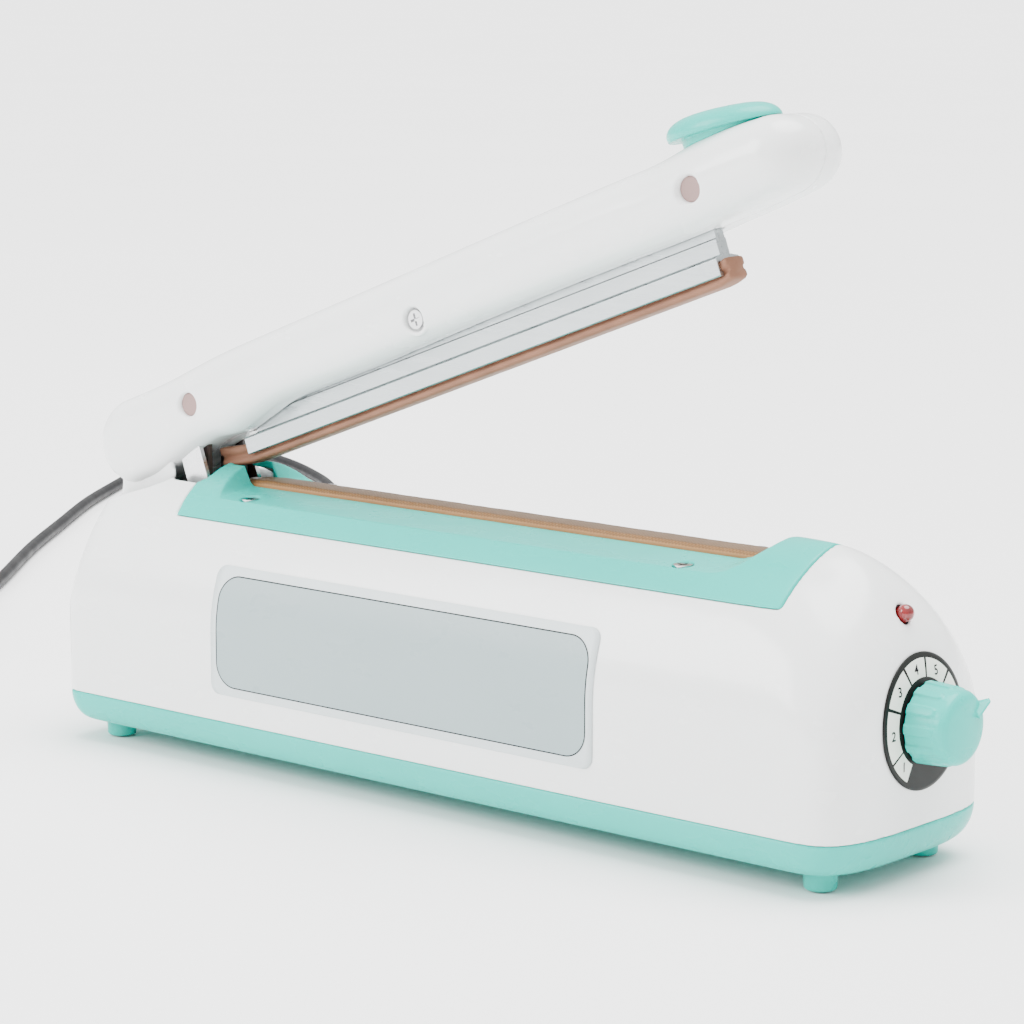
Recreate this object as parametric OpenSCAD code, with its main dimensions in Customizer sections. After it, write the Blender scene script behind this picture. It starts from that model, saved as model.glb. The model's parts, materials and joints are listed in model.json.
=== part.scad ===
// Hand impulse heat sealer with a 200 mm seal, drawn with its arm open.
// The base is drawn about its own centre, with +X towards the timer knob, +Y to the rear and +Z up.
// place() then moves it, so that the origin is on the table under the middle of the whole machine.
// Everything on the arm is drawn closed, and arm_open() turns it up about the axle.

/* [Base] */
// Left end of the base, measured from the middle of its feet
base_left = -158; // [-160:0.5:-157]
// Right end of the base, measured from the middle of its feet
base_right = 159.5; // [158:0.5:160]
// Half of the base's width at the seam
base_half = 39.2; // [38:0.2:42]
// Height of the seam between the pan and the upper shell
seam_z = 16; // [15:0.5:17]
// Height of the crown of the upper shell
crown_z = 93; // [92.5:0.1:93.5]
// Wall thickness of the base mouldings
wall = 2.4; // [2:0.1:2.8]
// Height of the feet
foot_h = 6; // [4:0.5:6]
// Diameter of the feet
foot_d = 10; // [8:0.5:12]
// Distance between the feet along the base
foot_pitch_x = 286; // [270:1:290]
// Distance between the feet across the base
foot_pitch_y = 50; // [44:1:54]

/* [Seal] */
// Left end of the woven strip over the heating band
strip_left = -105; // [-105:0.5:-103]
// Right end of the woven strip, under the ramp of the cover
strip_right = 101; // [99:0.5:101]
// Width of the woven strip
strip_w = 11; // [10.6:0.2:11]
// Height of the strip's flat top
strip_top = 88.1; // [88:0.05:88.1]

/* [Arm] */
// Height of the hinge axle
pivot_z = 112; // [112:0.1:112.5]
// Place of the hinge axle along the base
pivot_x = -118; // [-118.2:0.1:-117.8]
// Angle that the arm opens to
open_angle = 20.2; // [18:0.2:22]
// Half of the arm's width along its straight part
arm_half = 16.6; // [16:0.1:17]
// Wall thickness of the arm's two halves
arm_wall = 2.2; // [1.8:0.1:2.4]
// Diameter of the hinge axle
axle_d = 6; // [5:0.5:6]
// Diameter of the round screw recesses
recess_d = 6.8; // [6.6:0.1:7.2]

/* [Timer] */
// Height of the knob's centre
dial_z = 46; // [45:0.5:47]
// Radius of the dial plate
dial_r = 19.5; // [18:0.5:20]
// Diameter of the knob at its base
knob_d = 23; // [22:0.5:24]
// Length of the knob
knob_l = 14; // [12:0.5:15]

/* [Cord] */
// Diameter of the mains lead
cord_d = 5; // [4.6:0.1:5]

/* [Hidden] */

eps = 0.01;
gap = 0.2;
far = 400;

// Where the base's centre lies in the machine's frame.
origin_x = -6.2;

// The upper shell's sides are upright below this height and arched above it.
spring_z = 45;
arch_power = 1.8;
end_power = 2.2;
crown_x = 125;
end_steps = 12;
levels = [seam_z, 30, spring_z, 53, 60, 66, 71, 75.5, 79.5, 83, 86, 88.5, 90.5, 92, 92.8, crown_z - eps];

// The cover's saddle and the shallow trough that the strip lies in.
cover_left = -112;
cover_right = 128.5;
cover_low = 77.7;
cover_t = 2.2;
trough_z = 86.2;
trough_fall = 0.138;
trough_edge = 5.8;
slot_half = 5.9;
cover_screw_x = 88;
cover_screw_y = 18;
cover_recess_z = 82.6;

// The pillar at the left end, which the arm's tail closes over.
neck_left = -155;
neck_right = -128;
neck_half = 14.2;
neck_top = 97.5;
neck_inner = 12.6;
throat_half = 17.5;
throat_right = -109;

pan_screw_x = 126;
pan_screw_y = 27;
bridge_top = 74;
floor_z = foot_h + wall + 0.1;
gland_x = -118;
gland_z = 24;
gland_tip = 64;

plunger_y = -10.6;
flange_out = 11.9;
flange_in = 10.4;
recess_floor = 13.2;
boss_inner = 12.2;
// The places of the arm's recesses, on the closed arm: the axle and the two screws.
axle_at = [pivot_x, pivot_z];
screws_at = [[-12.5, 110.5], [102.4, 116]];

colour_white = [0.93, 0.93, 0.92];
colour_mint = [0.47, 0.89, 0.80];
colour_metal = [0.75, 0.76, 0.77];
colour_dark = [0.1, 0.1, 0.1];

// The lead's route along the table, from the strain relief to the coil.
cord_r = cord_d / 2;
route = [[-118, 63, 24], [-118, 72, 23.6], [-119, 84, 21], [-122, 98, 15], [-127, 114, 8],
    [-135, 131, 3.6], [-147, 150, 2.5], [-172, 178, 2.5], [-205, 207, 2.5], [-245, 237, 2.5],
    [-290, 267, 2.5], [-340, 300, 2.5], [-390, 338, 2.5], [-437, 380, 2.5], [-472, 403, 2.5],
    [-503, 419, 2.5], [-531, 429, 2.5], [-553, 430, 2.5], [-566, 418, 2.5], [-565, 396, 2.5],
    [-548, 364, 2.5], [-521, 321, 2.5], [-492, 275, 2.5], [-457, 227, 2.5], [-420, 177, 2.5],
    [-378, 125, 2.5], [-352, 91, 2.5], [-335, 68.6, 2.5]];
coil_at = [-358, 50];
coil_r = 27;
tail_route = [[-334.6, 63.5, 6.9], [-328.6, 53.1, 7.6], [-322.6, 42.7, 7.4], [-316.6, 32.3, 7]];
plug_turn = -60;
plug_z = 7;

module place() {
    translate([origin_x, 0, 0]) children();
}

module arm_open() {
    place() translate([pivot_x, 0, pivot_z]) rotate([0, -open_angle, 0])
        translate([-pivot_x, 0, -pivot_z]) children();
}

module both_sides() {
    for (s = [-1, 1]) scale([1, s, 1]) children();
}

module four_corners(x, y) {
    for (sx = [-1, 1], sy = [-1, 1]) translate([sx * x, sy * y, 0]) children();
}

// A box from its lowest corner to its highest corner.
module block(low, high) {
    translate(low) cube(high - low);
}

// A cylinder along +Y from y0 to y1, at a place [x, z].
module pin_y(at, y0, y1, r, sides = 48) {
    translate([at[0], y0, at[1]]) rotate([-90, 0, 0]) cylinder(h = y1 - y0, r = r, $fn = sides);
}

// A cylinder along +X from x0 to x1, at a place [y, z].
module pin_x(at, x0, x1, r, sides = 48) {
    translate([x0, at[0], at[1]]) rotate([0, 90, 0]) cylinder(h = x1 - x0, r = r, $fn = sides);
}

// A plate in the XZ plane, from y0 to y1.
module upright_plate(points, y0, y1) {
    translate([0, y1, 0]) rotate([90, 0, 0]) linear_extrude(y1 - y0) polygon(points);
}

// The base's outline

function rise(z) = max(0, (z - spring_z) / (crown_z - spring_z));
function half_at(z) = base_half * sqrt(max(0, 1 - pow(rise(z), arch_power)));
function right_at(z) = crown_x + (base_right - crown_x) * sqrt(max(0, 1 - pow(rise(z), end_power)));
function left_at(z) = base_left + 6 * rise(z);
function end_point(tip, depth, half, power, t) =
    [tip - depth + depth * pow(abs(cos(t)), 2 / power),
     half * sign(sin(t)) * pow(abs(sin(t)), 2 / power)];
function base_outline(z) = concat(
    [for (i = [0:end_steps]) end_point(right_at(z), 21 + 29 * rise(z), half_at(z),
        3.6 - 1.3 * rise(z), -90 + 180 * i / end_steps)],
    [for (i = [0:end_steps]) end_point(left_at(z), -12 - 8 * rise(z), half_at(z),
        4 - 1.2 * rise(z), 90 - 180 * i / end_steps)]);

// A solid through rings of points. Every ring has as many points as the first.
module loft(rings) {
    n = len(rings[0]);
    last = (len(rings) - 1) * n;
    polyhedron([for (ring = rings, p = ring) p], concat([[for (k = [0:n - 1]) k]],
        [[for (k = [0:n - 1]) last + n - 1 - k]],
        [for (i = [0:n:last - n], k = [0:n - 1]) let (m = (k + 1) % n)
            [i + k, i + n + k, i + n + m, i + m]]));
}

// Joins everything below it into one skin and keeps its size.
module one_skin() {
    resize([0, 0, 0]) children();
}

// The whole outer form of the upper shell, solid, from the seam to the crown.
module base_form() {
    loft([for (z = levels) [for (p = base_outline(z)) [p[0], p[1], z]]]);
}

// The same form, smaller by a wall all round, standing on the seam.
module base_cavity() {
    length = base_right - base_left;
    middle = (base_right + base_left) / 2;
    translate([middle, 0, seam_z]) scale([1 - 2 * wall / length, 1 - wall / base_half,
        1 - wall / (crown_z - seam_z)]) translate([-middle, 0, -seam_z]) base_form();
    block([base_left + 12, 8 - base_half, seam_z - 1], [base_right - 22, base_half - 8, seam_z + 1]);
}

// The seam's outline at a height, smaller by inset.
function pan_ring(z, inset) = let (length = base_right - base_left, middle = (base_right + base_left) / 2)
    [for (p = base_outline(seam_z)) [middle + (p[0] - middle) * (1 - 2 * inset / length),
        p[1] * (1 - inset / base_half), z]];

// The pan's solid form. Its underside curves in towards the feet.
module pan_form(inset, low, high) {
    steps = 6;
    curve = 5.5;
    loft([for (k = [0:steps]) pan_ring(low + (high - low) * (1 - cos(90 * k / steps)),
        inset + curve * (1 - sin(90 * k / steps)))]);
}

// The upper shell and its cover

// What is cut away above the trough, with the ramp at its right end.
module trough_cut() {
    high = 120;
    ramp = [[99.5, 0], [102, 0.2], [105, 0.9], [108, 2.3], [111, 4.5], [114.5, 7.5]];
    for (s = [-1, 1]) multmatrix([[1, 0, 0, 0], [0, 1, 0, 0],
        [0, -s * trough_fall, 1, trough_fall * trough_edge], [0, 0, 0, 1]])
        upright_plate(concat([[-103, high], [-102.8, 94], [-101.6, 91], [-99.5, 87.2], [-98, trough_z]],
            [for (p = ramp) [p[0], trough_z + p[1]]], [[118, high]]),
            s > 0 ? 0 : -60, s > 0 ? 60 : 0);
}

// The part of the outer form that belongs to the cover, larger by edge all round.
module cover_region(edge) {
    upright_plate([[cover_left - edge + 1.4, cover_low - edge], [cover_left - edge, 100],
        [cover_right + edge, 100], [cover_right + edge, cover_low - edge]], -60, 60);
}

// The tail of the arm swings down here, on both sides of the neck.
module shoulder_cut() {
    both_sides() upright_plate([[-170, 77], [-150, 78], [-144, 80], [-138, 82], [-132, 84], [-127, 86.2],
        [-122.5, 89], [-122.5, 120], [-170, 120]], neck_half, 60);
}

// The opening in the crown that the hinge and the arm's legs pass through.
module throat_cut() {
    corner = 4;
    hull() both_sides() {
        block([neck_right + 0.2, 0, 60], [-124, neck_inner, 120]);
        block([-124, 0, 60], [throat_right, throat_half - corner, 120]);
        for (x = [-122, throat_right - corner]) translate([x, throat_half - corner, 60])
            cylinder(h = 60, r = corner, $fn = 32);
    }
}

module neck() {
    corner = 5;
    difference() {
        hull() both_sides() {
            translate([neck_left + corner, neck_half - corner, 60])
                cylinder(h = neck_top - 60, r = corner, $fn = 32);
            block([neck_right - 4, 0, 60], [neck_right, neck_half, neck_top]);
        }
        block([neck_left + 2, -neck_inner, 50], [neck_right + 5, neck_inner, neck_top - 1.8]);
        block([neck_right - 6, -neck_inner, 50], [neck_right + 5, neck_inner, neck_top + 1]);
    }
}

module pan_screw_boss() {
    difference() {
        union() {
            translate([0, 0, seam_z + gap]) cylinder(h = 22, r = 4, $fn = 32);
            both_sides() block([-0.8, 3.5, seam_z + 1], [0.8, 10.5, 34]);
        }
        cylinder(h = 60, r = 1.6, $fn = 24);
    }
}

module upper_shell() {
    color(colour_white) place() one_skin() difference() {
        union() {
            difference() {
                base_form();
                base_cavity();
                shoulder_cut();
                cover_region(gap);
                throat_cut();
                pin_x([0, dial_z], 140, 170, 4);
                lamp_axis() cylinder(h = 12, r = 2.8, center = true, $fn = 32);
                pin_y([gland_x, gland_z], 30, 50, 4.7);
            }
            neck();
            intersection() {
                four_corners(pan_screw_x, pan_screw_y) pan_screw_boss();
                base_form();
            }
        }
        block([neck_left + 2, -neck_inner, 50], [neck_right + 1, neck_inner, neck_top - 1.8]);
    }
}

module top_cover() {
    color(colour_mint) place() one_skin() difference() {
        union() {
            difference() {
                intersection() {
                    base_form();
                    cover_region(0);
                }
                translate([0, 0, -cover_t]) difference() {
                    scale([0.99, 1 - cover_t / base_half, 1]) base_form();
                    trough_cut();
                }
            }
            four_corners(cover_screw_x, cover_screw_y)
                translate([0, 0, 79.4]) cylinder(h = 5, r = 4.4, $fn = 32);
        }
        trough_cut();
        block([strip_left - 1, -slot_half, 60], [strip_right + 0.5, slot_half, 120]);
        block([-120, -slot_half, 87.8], [strip_left, slot_half, 120]);
        throat_cut();
        four_corners(cover_screw_x, cover_screw_y) {
            translate([0, 0, cover_recess_z]) cylinder(h = 10, r = 3.2, $fn = 32);
            translate([0, 0, 60]) cylinder(h = 40, r = 1.7, $fn = 24);
        }
    }
}

module bottom_pan() {
    color(colour_mint) place() one_skin() difference() {
        union() {
            difference() {
                pan_form(0, foot_h, seam_z - gap / 2);
                pan_form(wall, foot_h + wall, seam_z + 2);
            }
            four_corners(pan_screw_x, pan_screw_y)
                translate([0, 0, foot_h + 1]) cylinder(h = seam_z - foot_h - 1.2, r = 5, $fn = 32);
        }
        four_corners(pan_screw_x, pan_screw_y) {
            cylinder(h = foot_h + 3, r = 3.6, $fn = 32);
            cylinder(h = 60, r = 1.8, $fn = 24);
        }
    }
}

module feet() {
    chamfer = 1;
    waist = foot_d / 2 - 0.3;
    color(colour_mint) place() four_corners(foot_pitch_x / 2, foot_pitch_y / 2) {
        cylinder(h = chamfer, r1 = foot_d / 2 - 1.2, r2 = waist, $fn = 48);
        translate([0, 0, chamfer])
            cylinder(h = foot_h - chamfer - eps, r1 = waist, r2 = foot_d / 2, $fn = 48);
    }
}

module screw_up(head_z, head_r, tip_z, r) {
    difference() {
        union() {
            translate([0, 0, head_z]) cylinder(h = 1.8, r = head_r, $fn = 32);
            translate([0, 0, head_z]) cylinder(h = tip_z - head_z, r = r, $fn = 24);
        }
        for (a = [0, 90]) rotate([0, 0, a]) block([-2, -0.4, head_z - 1], [2, 0.4, head_z + 0.9]);
    }
}

module pan_screws() {
    color(colour_metal) place() four_corners(pan_screw_x, pan_screw_y)
        screw_up(foot_h + 1.1, 3, 34, 1.45);
}

module cover_screws() {
    color(colour_metal) place() four_corners(cover_screw_x, cover_screw_y)
        translate([0, 0, cover_recess_z + 1.9]) mirror([0, 0, 1]) screw_up(0, 2.9, 13, 1.45);
}

// Inside the base

module chassis_bridge() {
    leg_x = 98;
    color(colour_metal) place() difference() {
        union() {
            block([-100, -24, bridge_top - 2], [100, 24, bridge_top]);
            for (s = [-1, 1]) {
                block([min(s * 100, s * leg_x), -20, floor_z], [max(s * 100, s * leg_x), 20, bridge_top]);
                block([min(s * 100, s * 84), -20, floor_z], [max(s * 100, s * 84), 20, floor_z + 2]);
            }
            four_corners(cover_screw_x, cover_screw_y)
                translate([0, 0, bridge_top - 1]) cylinder(h = 6.2, r = 4, $fn = 32);
        }
        four_corners(cover_screw_x, cover_screw_y) cylinder(h = 100, r = 1.6, $fn = 24);
        for (s = [-1, 1]) translate([s * 90, 0, 0]) cylinder(h = 20, r = 2, $fn = 24);
    }
}

module heater_rail() {
    color(colour_metal) place() {
        difference() {
            union() {
                block([strip_left + 0.6, -4.3, bridge_top], [strip_right - 0.6, 4.3, 86.3]);
                block([strip_left + 0.6, -3.5, 86], [strip_right - 0.6, 3.5, 87]);
            }
            block([strip_left, -2.6, bridge_top + 2], [strip_right, 2.6, 84]);
        }
    }
}

module insulating_tape() {
    color([0.85, 0.75, 0.5]) place()
        block([strip_left + 0.6, -3.3, 87], [strip_right - 0.6, 3.3, 87.2]);
}

module heating_band() {
    color([0.6, 0.55, 0.5]) place() union() {
        block([strip_left + 0.2, -1.3, 87.25], [strip_right - 0.2, 1.3, 87.5]);
        block([strip_left + 0.2, -1.3, 78], [strip_left + 0.45, 1.3, 87.5]);
        block([strip_right - 0.45, -1.3, 78], [strip_right - 0.2, 1.3, 87.5]);
    }
}

module band_clamps() {
    color(colour_metal) place() {
        block([strip_left - 2.2, -5, 76], [strip_left + 0.1, 5, 84]);
        block([strip_right - 0.1, -5, 76], [strip_right + 4, 5, 84]);
    }
}

module seal_strip() {
    half = strip_w / 2;
    edge = 1.3;
    skin = 0.45;
    color([0.62, 0.45, 0.27]) place() translate([strip_left, 0, 0]) rotate([90, 0, 90])
        linear_extrude(strip_right - strip_left) polygon([[-half, 81], [-half, strip_top - edge],
            [edge - half, strip_top], [half - edge, strip_top], [half, strip_top - edge], [half, 81],
            [half - skin, 81], [half - skin, strip_top - edge - 0.3],
            [half - edge - 0.2, strip_top - skin], [edge + 0.2 - half, strip_top - skin],
            [skin - half, strip_top - edge - 0.3], [skin - half, 81]]);
}

module transformer_core() {
    color([0.35, 0.35, 0.37]) place() translate([-20, 0, floor_z + 1.4]) difference() {
        block([-30, -18, 0], [30, 18, 48]);
        block([-20, -20, 10], [-10, 20, 38]);
        block([10, -20, 10], [20, 20, 38]);
    }
}

module transformer_coil() {
    color([0.75, 0.5, 0.2]) place() translate([-20, 0, floor_z + 1.4]) difference() {
        block([-19.7, -27, 10.3], [19.7, 27, 37.7]);
        block([-10.3, -18.3, 0], [10.3, 18.3, 50]);
    }
}

module transformer_strap() {
    color(colour_metal) place() translate([-20, 0, floor_z]) difference() {
        union() {
            block([-31.6, -12, 0], [31.6, 12, 51]);
            block([-42, -12, 0], [42, 12, 1.2]);
        }
        block([-30.2, -20, 1.2], [30.2, 20, 49.6]);
        for (s = [-1, 1]) translate([s * 37, 0, -1]) cylinder(h = 4, r = 2, $fn = 24);
    }
}

module circuit_board() {
    color([0.1, 0.45, 0.25]) place() difference() {
        block([38, -22, 20], [94, 22, 21.6]);
        translate([66, 0, 0]) four_corners(24, 18) cylinder(h = 40, r = 1.7, $fn = 24);
    }
}

module board_pillars() {
    color(colour_white) place() translate([66, 0, 0]) four_corners(24, 18) {
        translate([0, 0, floor_z + 2.2]) cylinder(h = 19.9 - floor_z - 2.2, r = 3, $fn = 24);
        translate([0, 0, 19]) cylinder(h = 4, r = 1.6, $fn = 24);
    }
}

module relay() {
    color([0.15, 0.3, 0.6]) place() block([44, -8, 21.7], [63, 8, 37]);
}

module capacitors() {
    color([0.15, 0.15, 0.2]) place() for (x = [72, 84]) translate([x, 4, 21.7])
        cylinder(h = 16, r = 4.5, $fn = 32);
}

// The hinge and the switch

module hinge_bracket() {
    boss_r = 6;
    color([0.16, 0.13, 0.12]) place() difference() {
        union() {
            both_sides() {
                upright_plate([[-127, floor_z], [-127, 100], [-123.5, 112], [-112.5, 112], [-116.5, 100],
                    [-116.5, 80], [-113.5, 70], [-113.5, floor_z]], 7, 9);
                pin_y(axle_at, 7, 9, boss_r);
            }
            block([-127, -9, floor_z], [-104, 9, floor_z + 2]);
            block([-127, -9, 60], [-125, 9, 78]);
        }
        pin_y(axle_at, -20, 20, axle_d / 2);
    }
}

module hinge_axle() {
    color(colour_metal) place() pin_y(axle_at, -14.6, 14.6, axle_d / 2);
}

module axle_washers() {
    color(colour_metal) place() both_sides() difference() {
        pin_y(axle_at, 9.2, 10.2, 5.5);
        pin_y(axle_at, 5, 12, axle_d / 2 + 0.05);
    }
}

module return_spring() {
    turns = 6;
    coil = 5;
    wire = 0.65;
    steps = 16;
    helix = [for (i = [0:turns * steps]) let (a = 90 - i * 360 / steps)
        [pivot_x + coil * cos(a), -4.4 + 8.8 * i / (turns * steps), pivot_z + coil * sin(a)]];
    color(colour_metal) arm_open() swept_tube(concat([[-126, -4.4, pivot_z + coil]], helix,
        [[-108, 4.4, pivot_z + coil]]), wire, 8);
}

module microswitch() {
    color(colour_dark) place() difference() {
        union() {
            block([-152, -12.4, 63], [-136, -6.4, 74]);
            pin_x([plunger_y, 70], -137, -135, 1.9);
        }
        pin_x([plunger_y, 70], -141, -130, 1.3);
        for (z = [65, 72]) pin_y([-148, z], -20, 0, 1.2, 24);
    }
}

module switch_plunger() {
    color([0.8, 0.1, 0.1]) place() pin_x([plunger_y, 70], -138.8, -132.6, 1.2);
}

// The arm, drawn closed

// Sections along the arm: place, underside, top and half width.
tail_steps = 6;
tail_x = -151;
tail_z = 107.8;
tail_r = 14.3;
tail_rim = 5;
grip_x = 126;
grip_z = 117.5;
grip_r = 11.5;
grip_reach = 14.5;
grip_half = arm_half + 0.6;

// Half of the tail's width at a distance from its tip: a disc with a rounded rim.
function tail_half(t) = 17 - tail_rim + sqrt(max(0, pow(tail_rim, 2) - pow(max(0, tail_rim - t), 2)));
arm_sections = concat(
    [for (i = [0:tail_steps]) let (a = 4 + 86 * i / tail_steps, h = tail_r * sin(a))
        [tail_x - tail_r * cos(a), tail_z - h, tail_z + h, tail_half(tail_r * (1 - cos(a)))]],
    [[-143, 93.8, 122.2, 17], [-136, 95.2, 122.4, 17], [-129, 97, 122.9, 17], [-116, 99.2, 124.2, 16.8],
        [-105, 98.6, 125.1, arm_half], [-95, 100.4, 125.4, arm_half], [-82, 102.7, 125.6, arm_half],
        [-44, 103.1, 126.1, arm_half], [0, 104.2, 126.8, arm_half], [44, 104.8, 127.5, arm_half],
        [73, 104.8, 127.8, arm_half + 0.2], [88, 104.8, 128, arm_half + 0.5],
        [102, 105, 129.4, arm_half + 0.9], [114, 105.2, 129.8, arm_half + 0.9]],
    [for (i = [0:tail_steps]) let (a = 90 - 86 * i / tail_steps, h = grip_r * sin(a))
        [grip_x + grip_reach * cos(a), grip_z - h, grip_z + h, grip_half * pow(sin(a), 0.8)]]);

// One section of the arm with rounded corners, smaller by inset. It turns from +Y up over the top.
function arm_ring(s, inset) = let (steps = 5, low = s[1] + inset, high = s[2] - inset, half = s[3] - inset,
    most = min(half, (high - low) / 2) - 0.05, upper = min(most, 10 - inset), lower = min(most, 7.5 - inset))
    [for (turn = [0:3], i = [0:steps]) let (a = 90 * (turn + i / steps), r = turn < 2 ? upper : lower,
        y = (turn == 0 || turn == 3) ? half - r : r - half, z = turn < 2 ? high - r : low + r)
        [s[0], y + r * cos(a), z + r * sin(a)]];

module arm_form(inset) {
    loft([for (s = arm_sections) if (s[3] > inset + 1 && s[2] - s[1] > 2 * inset + 1) arm_ring(s, inset)]);
}

// One half of the arm's casing: side is -1 at the front and 1 at the rear.
module arm_half_shell(side) {
    one_skin() difference() {
        union() {
            difference() {
                arm_form(0);
                arm_form(arm_wall);
            }
            intersection() {
                arm_form(0.5);
                for (at = concat([axle_at], screws_at)) scale([1, side, 1])
                    pin_y(at, boss_inner, 40, 5.2, 32);
            }
        }
        scale([1, -side, 1]) block([-far, -0.05, 0], [far, far, far]);
        block([-180, -14.8, 80], [-106, 14.8, 106]);
        block([-180, -14.8, 80], [-130, 14.8, 110]);
        block([-110, -2.8, 90], [97.5, 2.8, 110]);
        scale([1, side, 1]) {
            pin_y(axle_at, recess_floor, 40, recess_d / 2, 32);
            pin_y(axle_at, 5, 40, axle_d / 2 + 0.3, 32);
            if (side < 0) for (at = screws_at) pin_y(at, recess_floor, 40, recess_d / 2, 32);
            for (at = screws_at) pin_y(at, 5, 14.2, 1.8, 24);
        }
    }
}

module arm_front_shell() {
    color(colour_white) arm_open() arm_half_shell(-1);
}

module arm_rear_shell() {
    color(colour_white) arm_open() arm_half_shell(1);
}

module thumb_pad() {
    color(colour_mint) arm_open() one_skin() difference() {
        union() {
            translate([108.2, 0, 130.6]) rotate([0, 4, 0]) difference() {
                scale([1, 0.65, 0.345]) sphere(r = 19.3, $fn = 48);
                block([-30, -30, -30], [30, 30, 0]);
            }
            translate([109.4, 0, 122]) scale([1, 0.65, 1]) cylinder(h = 9, r = 15, $fn = 48);
        }
        arm_form(-0.05);
    }
}

module arm_channel() {
    web = 115.5;
    foot = 108;
    color(colour_metal) arm_open() difference() {
        union() {
            block([-105.5, -flange_out, web], [96, flange_out, web + 1.5]);
            both_sides() {
                block([-132, flange_in, foot], [112, flange_out, web + 1.5]);
                block([-132, flange_in, 68], [-122.5, flange_out, foot + 2]);
            }
        }
        pin_y(axle_at, -20, 20, axle_d / 2 + 0.05);
        for (at = screws_at) pin_y(at, -20, 20, 1.7, 24);
    }
}

module jaw_bar() {
    left = -107.8;
    right = 97;
    color(colour_metal) arm_open() difference() {
        union() {
            block([left + 3.5, -9.8, 113.6], [right - 3, 9.8, 115.2]);
            block([left + 3.5, -2, 95], [right - 3, 2, 115]);
            block([left, -5.5, 91.2], [right, 5.5, 96.6]);
        }
        block([left - 1, -4.5, 91.9], [right + 1, 4.5, 95.4]);
        block([left - 1, -3.7, 90], [right + 1, 3.7, 92.5]);
        for (at = screws_at) pin_y(at, -20, 20, 1.8, 24);
    }
}

module silicone_strip() {
    color([0.62, 0.39, 0.31]) arm_open() translate([-122, 0, 0]) rotate([90, 0, 90])
        linear_extrude(221.5) polygon([[-3.4, 88.4], [-4.2, 89], [-4.2, 90.3], [-3.3, 91.2], [-3.3, 92.1],
            [-4.3, 92.2], [-4.3, 95], [4.3, 95], [4.3, 92.2], [3.3, 92.1], [3.3, 91.2], [4.2, 90.3],
            [4.2, 89], [3.4, 88.4]]);
}

module arm_screws() {
    color(colour_metal) arm_open() for (at = screws_at) difference() {
        union() {
            pin_y(at, -recess_floor - 2, -recess_floor - 0.1, 2.9, 32);
            pin_y(at, -recess_floor - 0.2, 13.6, 1.5, 24);
        }
        for (a = [0, 90]) translate([at[0], -recess_floor - 2, at[1]]) rotate([0, a, 0])
            block([-2, -1, -0.4], [2, 0.9, 0.4]);
    }
}

// The timer and the lamp

module dial_plate() {
    color(colour_dark) place() one_skin() intersection() {
        difference() {
            translate([0.5, 0, 0]) base_form();
            translate([0.05, 0, 0]) base_form();
        }
        difference() {
            pin_x([0, dial_z], 140, 165, dial_r, 96);
            pin_x([0, dial_z], 130, 170, 4.5);
        }
    }
}

module timer_knob() {
    back = base_right + 0.9;
    flutes = 14;
    front_r = knob_d / 2 - 0.9;
    color(colour_mint) place() translate([back, 0, dial_z]) rotate([0, 90, 0]) difference() {
        union() {
            cylinder(h = knob_l - 1.5, r1 = knob_d / 2, r2 = front_r, $fn = 96);
            translate([0, 0, knob_l - 1.5]) cylinder(h = 1.5, r1 = front_r, r2 = front_r - 1.3, $fn = 96);
        }
        for (i = [0:flutes - 1]) rotate([0, 0, 360 * i / flutes]) translate([knob_d / 2 + 0.5, 0, 3])
            cylinder(h = knob_l - 6, r = 1.3, $fn = 24);
        translate([0, 0, -1]) cylinder(h = 5, r = 8, $fn = 48);
        translate([0, 0, -1]) cylinder(h = knob_l - 2, r = 3, $fn = 48);
    }
}

module timer_shaft() {
    color(colour_metal) place() pin_x([0, dial_z], 146, base_right + 0.9 + knob_l - 3, 3 - eps);
}

module timer_pot() {
    color([0.3, 0.3, 0.32]) place() difference() {
        union() {
            pin_x([0, dial_z], 141, 155.4, 12);
            pin_x([0, dial_z], 155, 163.4, 3.8);
        }
        pin_x([0, dial_z], 145.8, 170, 3.06);
    }
}

module pot_nut() {
    color(colour_metal) place() difference() {
        pin_x([0, dial_z], base_right + 0.7, base_right + 2.9, 6, 6);
        pin_x([0, dial_z], 150, 170, 3.85);
    }
}

module lamp_axis() {
    translate([151.6, 0, 75.4]) rotate([0, 62, 0]) children();
}

module pilot_lamp() {
    color([0.8, 0.05, 0.08]) place() lamp_axis() union() {
        translate([0, 0, -6]) cylinder(h = 7.4, r = 2.5, $fn = 48);
        intersection() {
            translate([0, 0, 1.4]) sphere(r = 2.5, $fn = 48);
            translate([0, 0, 1.4]) cylinder(h = 5, r = 4, $fn = 48);
        }
    }
}

module lamp_holder() {
    color(colour_dark) place() lamp_axis() difference() {
        translate([0, 0, -9]) cylinder(h = 5, r = 4.2, $fn = 48);
        translate([0, 0, -6.1]) cylinder(h = 5, r = 2.6, $fn = 48);
    }
}

module label_plate() {
    color([0.76, 0.81, 0.82]) place() one_skin() intersection() {
        difference() {
            scale([1, 1.009, 1]) base_form();
            scale([1, 1.001, 1]) base_form();
        }
        hull() for (x = [-82, 69], z = [28, 63]) pin_y([x, z], -60, 0, 3, 32);
    }
}

// The mains lead

function unit(v) = v / norm(v);
// A smooth curve through the route's points: three steps from each point to the next.
function curve_point(p, i, t) = let (a = p[max(0, i - 1)], b = p[i], c = p[i + 1],
    d = p[min(len(p) - 1, i + 2)]) 0.5 * (2 * b + t * (c - a) + t * t * (2 * a - 5 * b + 4 * c - d)
    + t * t * t * (3 * b - a - 3 * c + d));
function smooth_route(p, steps) = concat([for (i = [0:len(p) - 2], k = [0:steps - 1])
    curve_point(p, i, k / steps)], [p[len(p) - 1]]);

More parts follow.
